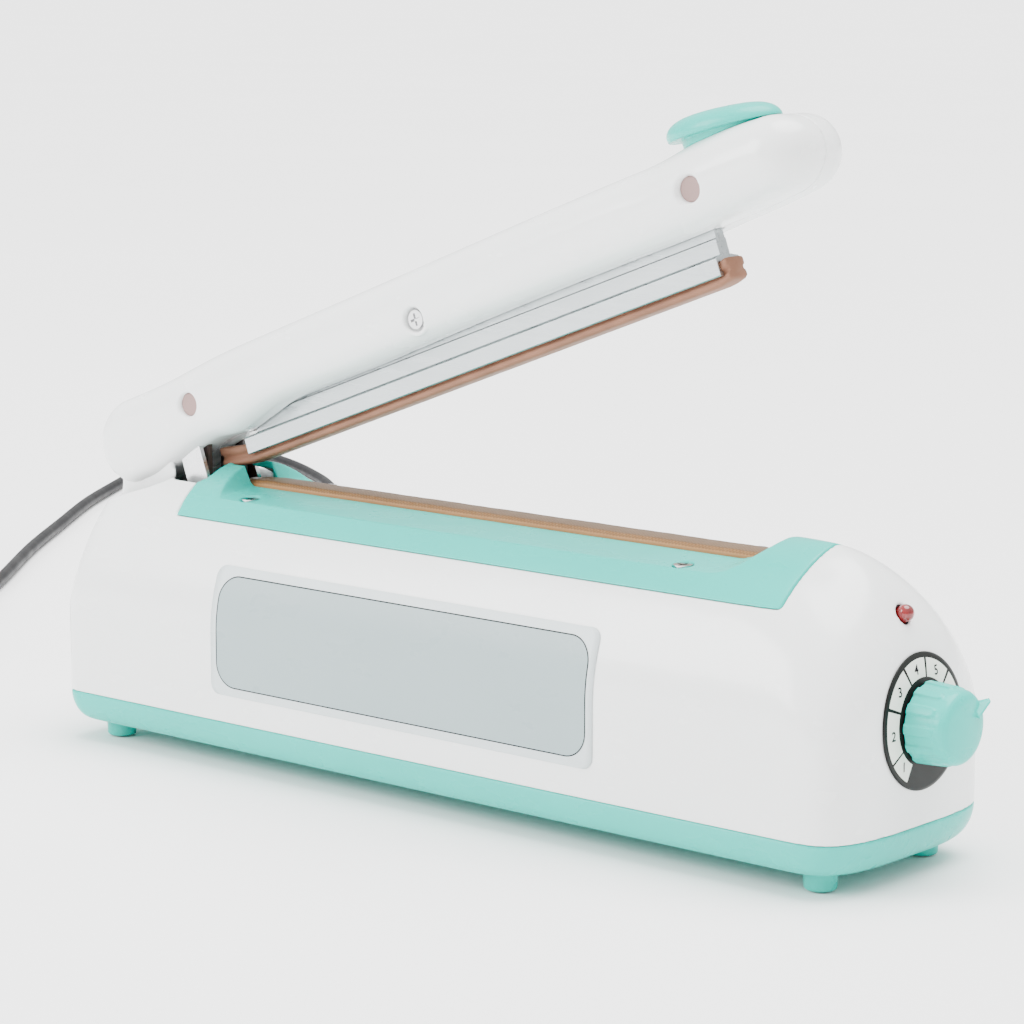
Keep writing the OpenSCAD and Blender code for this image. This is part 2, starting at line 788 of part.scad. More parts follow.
// A round tube along a list of points.
module swept_tube(p, r, sides) {
    last = len(p) - 1;
    heading = [for (i = [0:last]) unit(p[min(last, i + 1)] - p[max(0, i - 1)])];
    rings = [for (i = [0:last]) let (across = unit(cross(heading[i],
        abs(heading[i][2]) < 0.9 ? [0, 0, 1] : [0, 1, 0])), up = cross(across, heading[i]))
        for (k = [0:sides - 1]) p[i] + r * (cos(360 * k / sides) * across + sin(360 * k / sides) * up)];
    polyhedron(rings, concat([[for (k = [0:sides - 1]) k]],
        [[for (k = [0:sides - 1]) last * sides + sides - 1 - k]],
        [for (i = [0:last - 1], k = [0:sides - 1]) let (n = (k + 1) % sides)
            [i * sides + k, (i + 1) * sides + k, (i + 1) * sides + n, i * sides + n]]));
}

module strain_relief() {
    color(colour_dark) place() translate([gland_x, 0, gland_z]) rotate([-90, 0, 0]) {
        translate([0, 0, 33]) cylinder(h = 6.6, r = 4.5, $fn = 48);
        translate([0, 0, 39.5]) cylinder(h = 2, r = 6.4, $fn = 48);
        translate([0, 0, 41.5 - eps]) cylinder(h = gland_tip - 41.5, r1 = 4.8, r2 = 3.2, $fn = 48);
    }
}

module cord_run() {
    color(colour_dark) place() swept_tube(smooth_route(concat([[gland_x, gland_tip, gland_z]],
        [for (i = [1:len(route) - 1]) route[i]]), 3), cord_r, 8);
}

module cord_coil() {
    color(colour_dark) place() translate([coil_at[0], coil_at[1], 0]) rotate_extrude($fn = 96)
        polygon([[coil_r - cord_d + 1, 0], [coil_r + cord_d - 1, 0], [coil_r + cord_d, 1.5],
            [coil_r + cord_d, 4.5], [coil_r + 2, 9.3], [coil_r - 2, 9.3], [coil_r - cord_d, 4.5],
            [coil_r - cord_d, 1.5]]);
}

module cord_tail() {
    color(colour_dark) place() swept_tube(smooth_route(tail_route, 2), cord_r, 8);
}

module plug_frame() {
    end = tail_route[len(tail_route) - 1];
    place() translate([end[0], end[1], plug_z]) rotate([0, 0, plug_turn]) children();
}

module plug_body() {
    color(colour_dark) plug_frame() union() {
        rotate([0, 90, 0]) cylinder(h = 13, r1 = 3.2, r2 = 5, $fn = 48);
        intersection() {
            block([12, -20, -plug_z + 0.1], [48, 20, plug_z - 0.1]);
            linear_extrude(20, center = true) polygon([[12, -6], [22, -12.8], [44, -12.8], [48, -11],
                [48, 11], [44, 12.8], [22, 12.8], [12, 6]]);
        }
    }
}

module plug_pins() {
    color(colour_metal) plug_frame() for (s = [-1, 1]) {
        pin_x([s * 9.3, 0], 48 + eps, 66, 2);
        translate([66 - eps, s * 9.3, 0]) rotate([0, 90, 0]) cylinder(h = 1, r1 = 2, r2 = 1.2, $fn = 48);
    }
}

bottom_pan();
feet();
pan_screws();
upper_shell();
top_cover();
cover_screws();
chassis_bridge();
heater_rail();
insulating_tape();
heating_band();
band_clamps();
seal_strip();
label_plate();
dial_plate();
timer_knob();
timer_shaft();
timer_pot();
pot_nut();
pilot_lamp();
lamp_holder();
transformer_core();
transformer_coil();
transformer_strap();
circuit_board();
board_pillars();
relay();
capacitors();
hinge_bracket();
hinge_axle();
axle_washers();
return_spring();
microswitch();
switch_plunger();
arm_front_shell();
arm_rear_shell();
thumb_pad();
arm_channel();
jaw_bar();
silicone_strip();
arm_screws();
strain_relief();
cord_run();
cord_coil();
cord_tail();
plug_body();
plug_pins();
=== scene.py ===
"""The looks of a hand impulse heat sealer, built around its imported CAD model.

Shapes are worked out in millimetres. The base's shapes are measured from the middle of its feet, and the
arm's are drawn closed. BASE and ARM turn them into metres in the machine's own frame.
"""

import bmesh, bpy, json
from math import copysign, cos, pi, radians, sin, sqrt
from mathutils import Matrix, Vector


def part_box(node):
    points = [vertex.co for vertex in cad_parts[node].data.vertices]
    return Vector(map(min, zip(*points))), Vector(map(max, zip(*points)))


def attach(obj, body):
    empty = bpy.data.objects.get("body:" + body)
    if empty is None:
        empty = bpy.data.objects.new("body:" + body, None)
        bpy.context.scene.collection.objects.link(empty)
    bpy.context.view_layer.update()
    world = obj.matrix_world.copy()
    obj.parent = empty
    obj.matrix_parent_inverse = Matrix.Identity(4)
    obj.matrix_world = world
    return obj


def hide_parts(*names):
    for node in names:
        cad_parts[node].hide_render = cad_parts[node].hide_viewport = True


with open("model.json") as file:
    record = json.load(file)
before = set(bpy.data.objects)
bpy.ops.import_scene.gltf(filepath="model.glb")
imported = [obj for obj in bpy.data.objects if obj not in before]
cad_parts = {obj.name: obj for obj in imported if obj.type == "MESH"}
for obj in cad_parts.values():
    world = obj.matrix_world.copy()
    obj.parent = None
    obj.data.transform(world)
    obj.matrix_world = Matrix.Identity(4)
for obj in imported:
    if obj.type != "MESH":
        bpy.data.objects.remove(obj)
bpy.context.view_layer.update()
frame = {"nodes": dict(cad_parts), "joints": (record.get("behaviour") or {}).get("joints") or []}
nodes = frame["nodes"]

MM = 0.001
feet_low, feet_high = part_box("feet")
BASE_X = (feet_low[0] + feet_high[0]) / 2
hinge = next(j for j in frame["joints"] if j["name"] == "arm_hinge")
OPEN_ANGLE = radians(hinge["range_deg"][1])
BASE = Matrix.Translation((BASE_X, 0, 0)) @ Matrix.Scale(MM, 4)
PIVOT_X = (hinge["pos_m"][0] - BASE_X) / MM
PIVOT_Z = hinge["pos_m"][2] / MM
PIVOT = Matrix.Translation((PIVOT_X, 0, PIVOT_Z))
ARM = BASE @ PIVOT @ Matrix.Rotation(-OPEN_ANGLE, 4, "Y") @ PIVOT.inverted()

# The base's outer form, in levels from the pan's underside up to the crown.
FOOT_Z, SEAM_Z, SPRING_Z, CROWN_Z = 6.0, 16.0, 45.0, 93.0
LEFT, RIGHT, CROWN_X, HALF = -158.0, 159.5, 125.0, 39.2
WALL, COVER_WALL = 2.4, 2.2
NECK_LEFT, NECK_RIGHT, NECK_HALF, NECK_TOP = -155.0, -128.0, 14.2, 97.5
# The cover and its openings. Its left edge and the throat's right edge are drawn for the looks.
COVER_LEFT, COVER_RIGHT, COVER_LOW = -113.8, 128.5, 77.7
THROAT, THROAT_HALF, THROAT_RIGHT = 12.6, 17.5, -110.3
SLOT_LEFT, SLOT_HALF, PASSAGE_HALF = -100.0, 5.9, 4.9
TROUGH_Z, TROUGH_FALL, TROUGH_EDGE = 86.2, 0.138, 5.8
STRIP_LEFT, STRIP_RIGHT, STRIP_TOP = -105.0, 101.0, 88.1
JAW_LEFT = -107.8
DIAL_Z, DIAL_R = 46.0, 19.5
CORD_D = 5.0
# Places on both sides of the middle, as (x, y).
FEET_AT, PAN_SCREWS_AT, COVER_SCREWS_AT = (143, 25), (126, 27), (88, 18)
UP = (0, 0, 1)


def clamp(value):
    """A value kept between 0 and 1."""
    return min(1.0, max(0.0, value))


def signed_power(value, power):
    """A value's size to a power, with the value's own sign."""
    return copysign(abs(value) ** power, value)


def turns(count):
    """Angles in equal steps round a full turn."""
    return [2 * pi * k / count for k in range(count)]


def four_places(x, y):
    """The places at (x, y) on both sides of the middle, both ways."""
    return [(sx * x, sy * y) for sx in (-1, 1) for sy in (-1, 1)]


# ---- the camera

def make_camera():
    """A long lens, a little above the machine and towards its knob end."""
    forward = Vector((-0.6457, 0.7450, -0.1673)).normalized()
    right = Vector((0.75568, 0.65495, 0.0)).normalized()
    up = right.cross(forward)
    turn = Matrix((right, up, -forward)).transposed().to_4x4()
    camera = bpy.data.cameras.new("camera")
    camera.lens = 119.53
    camera.sensor_width = 36
    camera.clip_end = 20
    eye = new_object("camera", camera)
    eye.matrix_world = Matrix.Translation((0.6795 + BASE_X, -0.7755, 0.2626)) @ turn
    bpy.context.scene.camera = eye


# ---- materials

def new_material(name):
    """A material, its nodes and links, and its Principled shader."""
    material = bpy.data.materials.new(name)
    material.use_nodes = True
    tree = material.node_tree
    return material, tree.nodes, tree.links, tree.nodes["Principled BSDF"]


def set_numbers(shader, numbers):
    """Sets what is the same all over the surface, on the shader's own sockets."""
    for socket, value in numbers.items():
        shader.inputs[socket].default_value = value


def add_noise(ns, ls, scale, detail, stretch=(1, 1, 1)):
    """Noise over object coordinates, stretched along the axes."""
    coord = ns.new("ShaderNodeTexCoord")
    mapping = ns.new("ShaderNodeMapping")
    mapping.inputs["Scale"].default_value = stretch
    noise = ns.new("ShaderNodeTexNoise")
    noise.inputs["Scale"].default_value = scale
    noise.inputs["Detail"].default_value = detail
    ls.new(coord.outputs["Object"], mapping.inputs["Vector"])
    ls.new(mapping.outputs["Vector"], noise.inputs["Vector"])
    return noise.outputs["Fac"]


def add_ramp(ns, ls, source, low, high, start=0.3, end=0.7):
    """Two colours spread over a value."""
    ramp = ns.new("ShaderNodeValToRGB")
    ramp.color_ramp.elements[0].position = start
    ramp.color_ramp.elements[1].position = end
    ramp.color_ramp.elements[0].color = (*low, 1)
    ramp.color_ramp.elements[1].color = (*high, 1)
    ls.new(source, ramp.inputs["Fac"])
    return ramp.outputs["Color"]


def add_range(ns, ls, source, low, high, start=0.3, end=0.7):
    """A value spread over another range."""
    spread = ns.new("ShaderNodeMapRange")
    spread.inputs["From Min"].default_value = start
    spread.inputs["From Max"].default_value = end
    spread.inputs["To Min"].default_value = low
    spread.inputs["To Max"].default_value = high
    ls.new(source, spread.inputs["Value"])
    return spread.outputs["Result"]


def add_bump(ns, ls, shader, height, distance):
    bump = ns.new("ShaderNodeBump")
    bump.inputs["Distance"].default_value = distance
    ls.new(height, bump.inputs["Height"])
    ls.new(bump.outputs["Normal"], shader.inputs["Normal"])


def add_math(ns, ls, operation, first, second=None):
    """Arithmetic on a value, and on a second value or a plain number where there is one."""
    node = ns.new("ShaderNodeMath")
    node.operation = operation
    ls.new(first, node.inputs[0])
    if isinstance(second, float):
        node.inputs[1].default_value = second
    elif second is not None:
        ls.new(second, node.inputs[1])
    return node.outputs[0]


def add_mix(ns, ls, first, second, blend="MULTIPLY", share=1.0):
    """Two colours in one. share is a plain number, or a value that varies over the surface."""
    mix = ns.new("ShaderNodeMix")
    mix.data_type = "RGBA"
    mix.blend_type = blend
    if isinstance(share, float):
        mix.inputs[0].default_value = share
    else:
        ls.new(share, mix.inputs[0])
    ls.new(first, mix.inputs[6])
    ls.new(second, mix.inputs[7])
    return mix.outputs[2]


def plastic(name, colour, spread, rough, grain, coat=0.0, specular=0.5):
    """Moulded plastic: faint flow marks in the colour, fine grain and a few dull patches."""
    material, ns, ls, shader = new_material(name)
    low = [max(0.0, c * (1 - spread)) for c in colour]
    high = [min(1.0, c * (1 + spread)) for c in colour]
    clouds = add_noise(ns, ls, 26, 5, (1, 1.6, 1.6))
    ls.new(add_ramp(ns, ls, clouds, low, high), shader.inputs["Base Color"])
    patches = add_noise(ns, ls, 120, 6, (0.5, 1, 1))
    ls.new(add_range(ns, ls, patches, rough * 0.85, rough * 1.2), shader.inputs["Roughness"])
    fine = add_noise(ns, ls, 2600, 2)
    add_bump(ns, ls, shader, fine, grain * MM)
    set_numbers(shader, {"Coat Weight": coat, "Coat Roughness": 0.12, "Specular IOR Level": specular})
    return material


def metal(name, colour, rough, stretch, scale=700, depth=0.01):
    """Brushed or rolled metal, with streaks along one axis and a few smudges."""
    material, ns, ls, shader = new_material(name)
    streaks = add_noise(ns, ls, scale, 5, stretch)
    smudges = add_noise(ns, ls, 40, 4)
    bright = add_ramp(ns, ls, streaks, [c * 0.86 for c in colour], colour, 0.25, 0.7)
    dulled = add_ramp(ns, ls, smudges, (0.86, 0.86, 0.87), (1, 1, 1))
    ls.new(add_mix(ns, ls, bright, dulled, share=0.6), shader.inputs["Base Color"])
    set_numbers(shader, {"Metallic": 1.0})
    ls.new(add_range(ns, ls, streaks, rough * 0.75, rough * 1.3), shader.inputs["Roughness"])
    add_bump(ns, ls, shader, streaks, depth * MM)
    return material


def rubber(name, colour, rough=0.6, specular=0.5):
    """Matt rubber or soft PVC, with a fine skin and a faint bloom."""
    material, ns, ls, shader = new_material(name)
    bloom = add_noise(ns, ls, 90, 6)
    ls.new(add_ramp(ns, ls, bloom, [c * 0.85 for c in colour], [min(1, c * 1.18) for c in colour]),
           shader.inputs["Base Color"])
    ls.new(add_range(ns, ls, bloom, rough * 0.85, rough * 1.15), shader.inputs["Roughness"])
    set_numbers(shader, {"Specular IOR Level": specular})
    add_bump(ns, ls, shader, add_noise(ns, ls, 1400, 4), 0.03 * MM)
    return material


def woven_ptfe():
    """Brown PTFE on woven glass: a fine plain weave, with painted light and shade: darker on the flat top,
    which the overhead light reaches most, and lighter on the sides.
    """
    material, ns, ls, shader = new_material("woven_ptfe")
    coord = ns.new("ShaderNodeTexCoord")
    split = ns.new("ShaderNodeSeparateXYZ")
    ls.new(coord.outputs["Object"], split.inputs[0])
    threads = []
    for axis, pitch in (("X", 0.62), ("Y", 0.55)):
        turn = add_math(ns, ls, "MULTIPLY", split.outputs[axis], pi / (pitch * MM))
        threads.append(add_math(ns, ls, "SINE", turn))
    weave = add_math(ns, ls, "MULTIPLY", *threads)
    geometry = ns.new("ShaderNodeNewGeometry")
    upward = ns.new("ShaderNodeSeparateXYZ")
    ls.new(geometry.outputs["True Normal"], upward.inputs[0])
    # Painted light and shade: the colour follows which way the surface faces, darker where it looks up into
    # the overhead light.
    body = add_ramp(ns, ls, upward.outputs["Z"], (0.42, 0.20, 0.068), (0.165, 0.094, 0.043), 0.45, 0.9)
    stain = add_ramp(ns, ls, add_noise(ns, ls, 60, 5, (0.4, 1, 1)), (0.80, 0.78, 0.75), (1, 1, 1))
    thread = add_ramp(ns, ls, weave, (0.78, 0.76, 0.72), (1.0, 1.0, 1.0), 0.0, 0.9)
    colour = add_mix(ns, ls, add_mix(ns, ls, body, stain), thread)
    ls.new(colour, shader.inputs["Base Color"])
    set_numbers(shader, {"Roughness": 0.42, "Specular IOR Level": 0.25})
    add_bump(ns, ls, shader, weave, 0.05 * MM)
    return material


def red_lens():
    """The pilot lamp's red plastic, clear enough for some light to spread inside it."""
    material, ns, ls, shader = new_material("red_lens")
    glow = add_noise(ns, ls, 300, 3)
    ls.new(add_ramp(ns, ls, glow, (0.13, 0.002, 0.003), (0.24, 0.004, 0.006)), shader.inputs["Base Color"])
    set_numbers(shader, {"Roughness": 0.08, "Coat Weight": 0.5, "Coat Roughness": 0.03,
                         "Subsurface Weight": 0.25, "Subsurface Radius": (0.002, 0.0003, 0.0003)})
    return material


def floor_material():
    material, ns, ls, shader = new_material("pale_floor")
    cloud = add_noise(ns, ls, 3, 3)
    ls.new(add_ramp(ns, ls, cloud, (0.90, 0.90, 0.90), (0.92, 0.92, 0.92)), shader.inputs["Base Color"])
    set_numbers(shader, {"Roughness": 0.75})
    return material


WHITE = plastic("white_abs", (0.83, 0.845, 0.84), 0.012, 0.24, 0.006, coat=0.25)
MINT = plastic("mint_abs", (0.001, 0.46, 0.385), 0.03, 0.28, 0.008, specular=0.3)
DARK = plastic("black_plastic", (0.012, 0.012, 0.013), 0.2, 0.42, 0.01, specular=0.12)
SEAL = woven_ptfe()
SILICONE = rubber("silicone", (0.210, 0.100, 0.062), 0.55, specular=0.15)
PVC = rubber("pvc_black", (0.006, 0.006, 0.007), 0.45, specular=0.15)
ALUMINIUM = metal("aluminium", (0.50, 0.54, 0.55), 0.30, (0.02, 1, 1))
STEEL = metal("zinc_steel", (0.55, 0.57, 0.58), 0.26, (1, 0.1, 1), 500)
CHROME = metal("bright_screw", (0.62, 0.62, 0.63), 0.16, (1, 1, 1), 300)
LENS = red_lens()
LABEL = plastic("label_border", (0.56, 0.62, 0.63), 0.015, 0.30, 0.003, specular=0.3)
PANEL = plastic("label_panel", (0.30, 0.375, 0.385), 0.012, 0.30, 0.003, specular=0.2)
INK = plastic("printed_ink", (0.008, 0.008, 0.009), 0.15, 0.4, 0.003, specular=0.1)
DIAL_BLACK = plastic("dial_black", (0.010, 0.011, 0.010), 0.2, 0.35, 0.004, specular=0.12)
DIAL_CREAM = plastic("dial_cream", (0.74, 0.76, 0.69), 0.012, 0.35, 0.003, specular=0.3)
# Painted shade: a pinkish grey that stands for the shadow inside the arm's recesses.
RECESS_SHADE = plastic("recess_shade_cup", (0.30, 0.20, 0.185), 0.05, 0.5, 0.01, specular=0.2)


# ---- mesh tools

def new_object(name, data):
    """An object in the scene."""
    obj = bpy.data.objects.new(name, data)
    bpy.context.scene.collection.objects.link(obj)
    return obj


def make_object(name, points, faces, matrix, material, smooth=True):
    """A mesh object from points that the matrix turns into metres."""
    mesh = bpy.data.meshes.new(name)
    mesh.from_pydata([matrix @ Vector(p) for p in points], [], faces)
    mesh.validate()
    mesh.polygons.foreach_set("use_smooth", [smooth] * len(mesh.polygons))
    if material:
        mesh.materials.append(material)
    return new_object(name, mesh)


def loft(rings, closed=True, caps=True):
    """Points and faces of a skin through rings of as many points each."""
    n = len(rings[0])
    points = [p for ring in rings for p in ring]
    faces = []
    for i in range(len(rings) - 1):
        for k in range(n if closed else n - 1):
            m = (k + 1) % n
            faces.append((i * n + k, i * n + m, (i + 1) * n + m, (i + 1) * n + k))
    if caps:
        faces.append(tuple(reversed(range(n))))
        faces.append(tuple(range((len(rings) - 1) * n, len(rings) * n)))
    return points, faces


def block(low, high):
    """A box from its lowest corner to its highest corner."""
    (a, b, c), (d, e, f) = low, high
    return loft([[(a, b, z), (d, b, z), (d, e, z), (a, e, z)] for z in (c, f)])


def prism_y(outline, y0, y1):
    """An outline of (x, z) points, drawn out from y0 to y1."""
    return loft([[(x, y, z) for x, z in reversed(outline)] for y in (y0, y1)])


def rod(start, axis, length, radii, sides=48):
    """A turned shape: radii are (share of the length, radius) along the axis from start."""
    axis = Vector(axis).normalized()
    side = axis.orthogonal().normalized()
    other = axis.cross(side)
    rings = []
    for share, r in radii:
        centre = Vector(start) + axis * (length * share)
        rings.append([tuple(centre + side * (r * cos(t)) + other * (r * sin(t))) for t in turns(sides)])
    return loft(rings)


def straight(start, axis, length, r, sides=48):
    return rod(start, axis, length, [(0, r), (1, r)], sides)


def applied(obj):
    """Puts the result of an object's modifiers into its mesh."""
    graph = bpy.context.evaluated_depsgraph_get()
    mesh = bpy.data.meshes.new_from_object(obj.evaluated_get(graph))
    old = obj.data
    obj.modifiers.clear()
    obj.data = mesh
    mesh.name = obj.name
    bpy.data.meshes.remove(old)


def cut_with(obj, tool, operation="DIFFERENCE"):
    """Cuts a tool out of an object, or joins or intersects them, and removes the tool."""
    step = obj.modifiers.new("step", "BOOLEAN")
    step.operation = operation
    step.solver = "EXACT"
    step.object = tool
    applied(obj)
    bpy.data.meshes.remove(tool.data)


def combine(obj, shapes, matrix, operation="DIFFERENCE"):
    """Cuts, joins or intersects an object with shapes, one after another."""
    for points, faces in shapes:
        cut_with(obj, make_object("tool", points, faces, matrix, None), operation)


def moulded(obj, voxel, rounding, keep=1.0):
    """Turns a sharp solid into a moulding with soft edges, and keeps a share of its faces."""
    remesh = obj.modifiers.new("skin", "REMESH")
    remesh.mode = "VOXEL"
    remesh.voxel_size = (voxel * 1) * MM
    remesh.use_smooth_shade = True
    soften = obj.modifiers.new("soften", "SMOOTH")
    soften.factor = 0.5
    soften.iterations = rounding
    if keep < 1:
        thin = obj.modifiers.new("thin", "DECIMATE")
        thin.ratio = keep
    applied(obj)
    obj.data.polygons.foreach_set("use_smooth", [True] * len(obj.data.polygons))


def tube_along(name, points, radius, material):
    """A round tube along points that are already in metres."""
    curve = bpy.data.curves.new(name, "CURVE")
    curve.dimensions = "3D"
    curve.bevel_depth = radius
    curve.bevel_resolution = 10
    curve.use_fill_caps = True
    spline = curve.splines.new("POLY")
    spline.points.add(len(points) - 1)
    for place, p in zip(spline.points, points):
        place.co = (*p, 1)
    curve.materials.append(material)
    return new_object(name, curve)


def settle(obj, body, slot, *replaced):
    """Hangs a piece on what it rides on and hides the CAD nodes it stands for. slot is not used."""
    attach(obj, body)
    if replaced:
        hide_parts(*replaced)
    return obj


# ---- the mains lead

CLIMB = [(-118, 64, 24), (-118, 72, 23.6), (-119, 84, 21), (-122, 98, 15), (-127, 114, 8), (-135, 131, 3.6)]
ON_TABLE = [(-147, 150), (-172, 178), (-205, 207), (-245, 237), (-290, 267), (-340, 300), (-390, 338),
            (-437, 380), (-472, 403), (-503, 419), (-531, 429), (-553, 430), (-566, 418), (-565, 396),
            (-548, 364), (-521, 321), (-492, 275), (-457, 227), (-420, 177), (-378, 125), (-352, 91),
            (-335, 68.6)]
ROUTE = CLIMB + [(x, y, CORD_D / 2) for x, y in ON_TABLE]
COIL_AT = (-358, 50)
TAIL = [(-334.6, 63.5, 6.9), (-328.6, 53.1, 7.6), (-322.6, 42.7, 7.4), (-316.6, 32.3, 7)]


def smooth_route(points, steps):
    """A Catmull-Rom curve through the points."""
    points = [Vector(p) for p in points]
    line = []
    for i in range(len(points) - 1):
        a, b = points[max(0, i - 1)], points[i]
        c, d = points[i + 1], points[min(len(points) - 1, i + 2)]
        for k in range(steps):
            t = k / steps
            line.append(0.5 * (2 * b + t * (c - a) + t * t * (2 * a - 5 * b + 4 * c - d)
                               + t ** 3 * (3 * b - a - 3 * c + d)))
    return line + [points[-1]]


def coil_points():
    """Three clockwise turns: two side by side on the table and one in the groove above them."""
    start, end = radians(38.9), radians(30 - 1080)
    steps = 150
    line = []
    for i in range(steps + 1):
        share = i / steps
        angle = start + (end - start) * share
        shift, climb = (clamp((3 * share - turn) / 0.25) for turn in (0.85, 1.85))
        inward, upward = (s * s * (3 - 2 * s) for s in (shift, climb))
        r = 29.5 - 5 * inward + 2.5 * upward
        z = CORD_D / 2 + 4.4 * upward
        line.append(Vector((COIL_AT[0] + r * cos(angle), COIL_AT[1] + r * sin(angle), z)))
    return line


def make_cord():
    """The lead from the rear wall to the plug, with what is on it."""
    route = smooth_route(ROUTE, 6)
    coil = coil_points()
    tail = smooth_route(TAIL, 6)
    line = [BASE @ p for p in route + coil[2:-1] + tail[1:]]
    cord = tube_along("mains_lead", line, CORD_D / 2 * MM, PVC)
    settle(cord, "base", "pvc_black", "cord_run", "cord_coil", "cord_tail")
    plug = make_plug()
    relief = make_strain_relief()
    tie = make_cord_tie()


def make_cord_tie():
    """A twist tie around the coil's turns."""
    cx, cy = COIL_AT
    angle = radians(200)
    centre = Vector((cx + 27 * cos(angle), cy + 27 * sin(angle), 4.7))
    outward = Vector((cos(angle), sin(angle), 0))
    along = Vector((-sin(angle), cos(angle), 0))
    steps = 40
    rings = []
    for i in range(steps + 1):
        t = 2 * pi * i / steps
        wide, tall = 5.3 * signed_power(cos(t), 0.7), 4.55 * signed_power(sin(t), 0.7)
        out = (outward * cos(t) + Vector(UP) * sin(t)) * 0.25
        place = centre + outward * wide + Vector((0, 0, tall + 0.1))
        rings.append([tuple(place + along * s + out * o) for s, o in ((-2, 0), (-2, 1), (2, 1), (2, 0))])
    tie = make_object("cord_tie", *loft(rings, caps=False), BASE, PVC)
    return settle(tie, "base", "pvc_black")


def make_strain_relief():
    """A flange on the rear wall and a tapered sleeve with flexing grooves."""
    low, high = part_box("strain_relief")
    x = ((low[0] + high[0]) / 2 - BASE_X) / MM
    z = (low[2] + high[2]) / 2 / MM
    radii = [(0, 4.5), (0.20, 4.5), (0.205, 6.2), (0.225, 6.4), (0.255, 6.4), (0.27, 6.0), (0.275, 4.9)]
    for i in range(6):
        share = 0.33 + 0.1 * i
        r = 4.8 - 0.26 * i
        radii += [(share, r), (share + 0.012, r - 0.75), (share + 0.045, r - 0.8), (share + 0.057, r - 0.06)]
    radii += [(0.985, 3.25), (1.0, 3.0)]
    relief = make_object("lead_strain_relief", *rod((x, 33, z), (0, 1, 0), 31, radii, 40), BASE, PVC)
    add_soft_edges(relief, 0.12)
    return settle(relief, "base", "pvc_black", "strain_relief")


def add_soft_edges(obj, width, angle=35):
    """Bevels the edges that are sharper than an angle in degrees. width is in millimetres."""
    bevel = obj.modifiers.new("edges", "BEVEL")
    bevel.width = width * MM
    bevel.segments = 2
    bevel.limit_method = "ANGLE"
    bevel.angle_limit = radians(angle)


def make_plug():
    """A flat moulded two-pin plug with a waisted body, grip ribs and sleeved pins."""
    end = Vector(TAIL[-1])
    place = BASE @ Matrix.Translation((end.x, end.y, 7)) @ Matrix.Rotation(radians(-60), 4, "Z")
    # Place along the plug, half width and half height. It is round up to its neck.
    sections = [(0, 3.0, 3.0), (2, 3.3, 3.3), (11, 4.6, 4.4), (14, 7.5, 5.4), (18, 10.8, 6.5),
                (23, 12.6, 6.9), (31, 12.3, 6.9), (39, 12.8, 6.9), (45, 12.6, 6.7), (47.6, 11.8, 6.0),
                (48, 11.0, 5.4)]
    neck = 12
    rings = []
    for x, half, tall in sections:
        power = 0.55 if x > neck else 1.0
        rings.append([(x, half * signed_power(cos(t), power), tall * signed_power(sin(t), power))
                      for t in turns(48)])
    body = make_object("plug_moulding", *loft(rings), place, PVC)
    ribs = [block((26 + 3 * i, -14, s * 6.35 - 0.9 * (s < 0)), (27 + 3 * i, 14, s * 6.35 + 0.9 * (s > 0)))
            for i in range(4) for s in (-1, 1)]
    combine(body, ribs, place)
    moulded(body, 0.4, 3, 0.6)
    settle(body, "base", "pvc_black", "plug_body")
    pins = []
    pin_form = [(0, 2), (0.5, 2), (0.502, 1.95), (0.93, 1.95), (0.98, 1.6), (1, 1.1)]
    for i, y in enumerate((-9.3, 9.3)):
        pin = make_object(f"plug_pin_{i}", *rod((47.5, y, 0), (1, 0, 0), 19.5, pin_form, 32), place, CHROME)
        settle(pin, "base", "plug_brass")
        pins.append(pin)
    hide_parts("plug_pins")
    return [body, *pins]


# ---- the base

def rise(z):
    """How far up the crown's arch a height is, from 0 to 1."""
    return max(0.0, (z - SPRING_Z) / (CROWN_Z - SPRING_Z))


def half_at(z):
    """The base's half width at a height."""
    return HALF * sqrt(max(0.0, 1 - rise(z) ** 1.8))


def right_at(z):
    """The right end's tip at a height."""
    return CROWN_X + (RIGHT - CROWN_X) * sqrt(max(0.0, 1 - rise(z) ** 2.2))


def end_ring(tip, depth, half, power, steps, start, stop):
    """Part of a superellipse in plan. A negative depth turns it to the left."""
    ring = []
    for i in range(steps + 1):
        t = radians(start + (stop - start) * i / steps)
        c, s = cos(t), sin(t)
        ring.append((tip - depth + depth * max(0.0, c) ** (2 / power),
                     half * signed_power(s, 2 / power)))
    return ring


def base_outline(z, steps=44):
    """The base's outline at a height, from the front round the right end to the rear and back."""
    r = rise(z)
    return (end_ring(right_at(z), 21 + 29 * r, half_at(z), 3.6 - 1.3 * r, steps, -90, 90)
            + end_ring(LEFT + 6 * r, -12 - 8 * r, half_at(z), 4 - 1.2 * r, steps, 90, -90))


def end_face_x(y, z):
    """Where the right end's surface lies, at a place (y, z)."""
    r, half = rise(z), half_at(z)
    power, depth = 3.6 - 1.3 * r, 21 + 29 * r
    share = min(1.0, abs(y) / half)
    return right_at(z) - depth + depth * (1 - share ** power) ** (1 / power)


def base_levels():
    """Heights for the form's rings, closer together towards the crown."""
    straight_part = [SEAM_Z + (SPRING_Z - SEAM_Z) * i / 8 for i in range(8)]
    arch = [SPRING_Z + (CROWN_Z - 0.004 - SPRING_Z) * sin(pi / 2 * i / 34) for i in range(35)]
    return straight_part + arch


def base_form(scale=(1, 1, 1)):
    """The outer form, scaled about the middle of the seam."""
    middle = (LEFT + RIGHT) / 2
    rings = [[(middle + (x - middle) * scale[0], y * scale[1], SEAM_Z + (z - SEAM_Z) * scale[2])
              for x, y in base_outline(z)] for z in base_levels()]
    return loft(rings)


def cover_region(edge):
    """The cover's part of the outer form, grown by a gap at its edges."""
    return prism_y([(COVER_LEFT - edge + 1.4, COVER_LOW - edge), (COVER_RIGHT + edge, COVER_LOW - edge),
                    (COVER_RIGHT + edge, 100), (COVER_LEFT - edge, 100)], -60, 60)


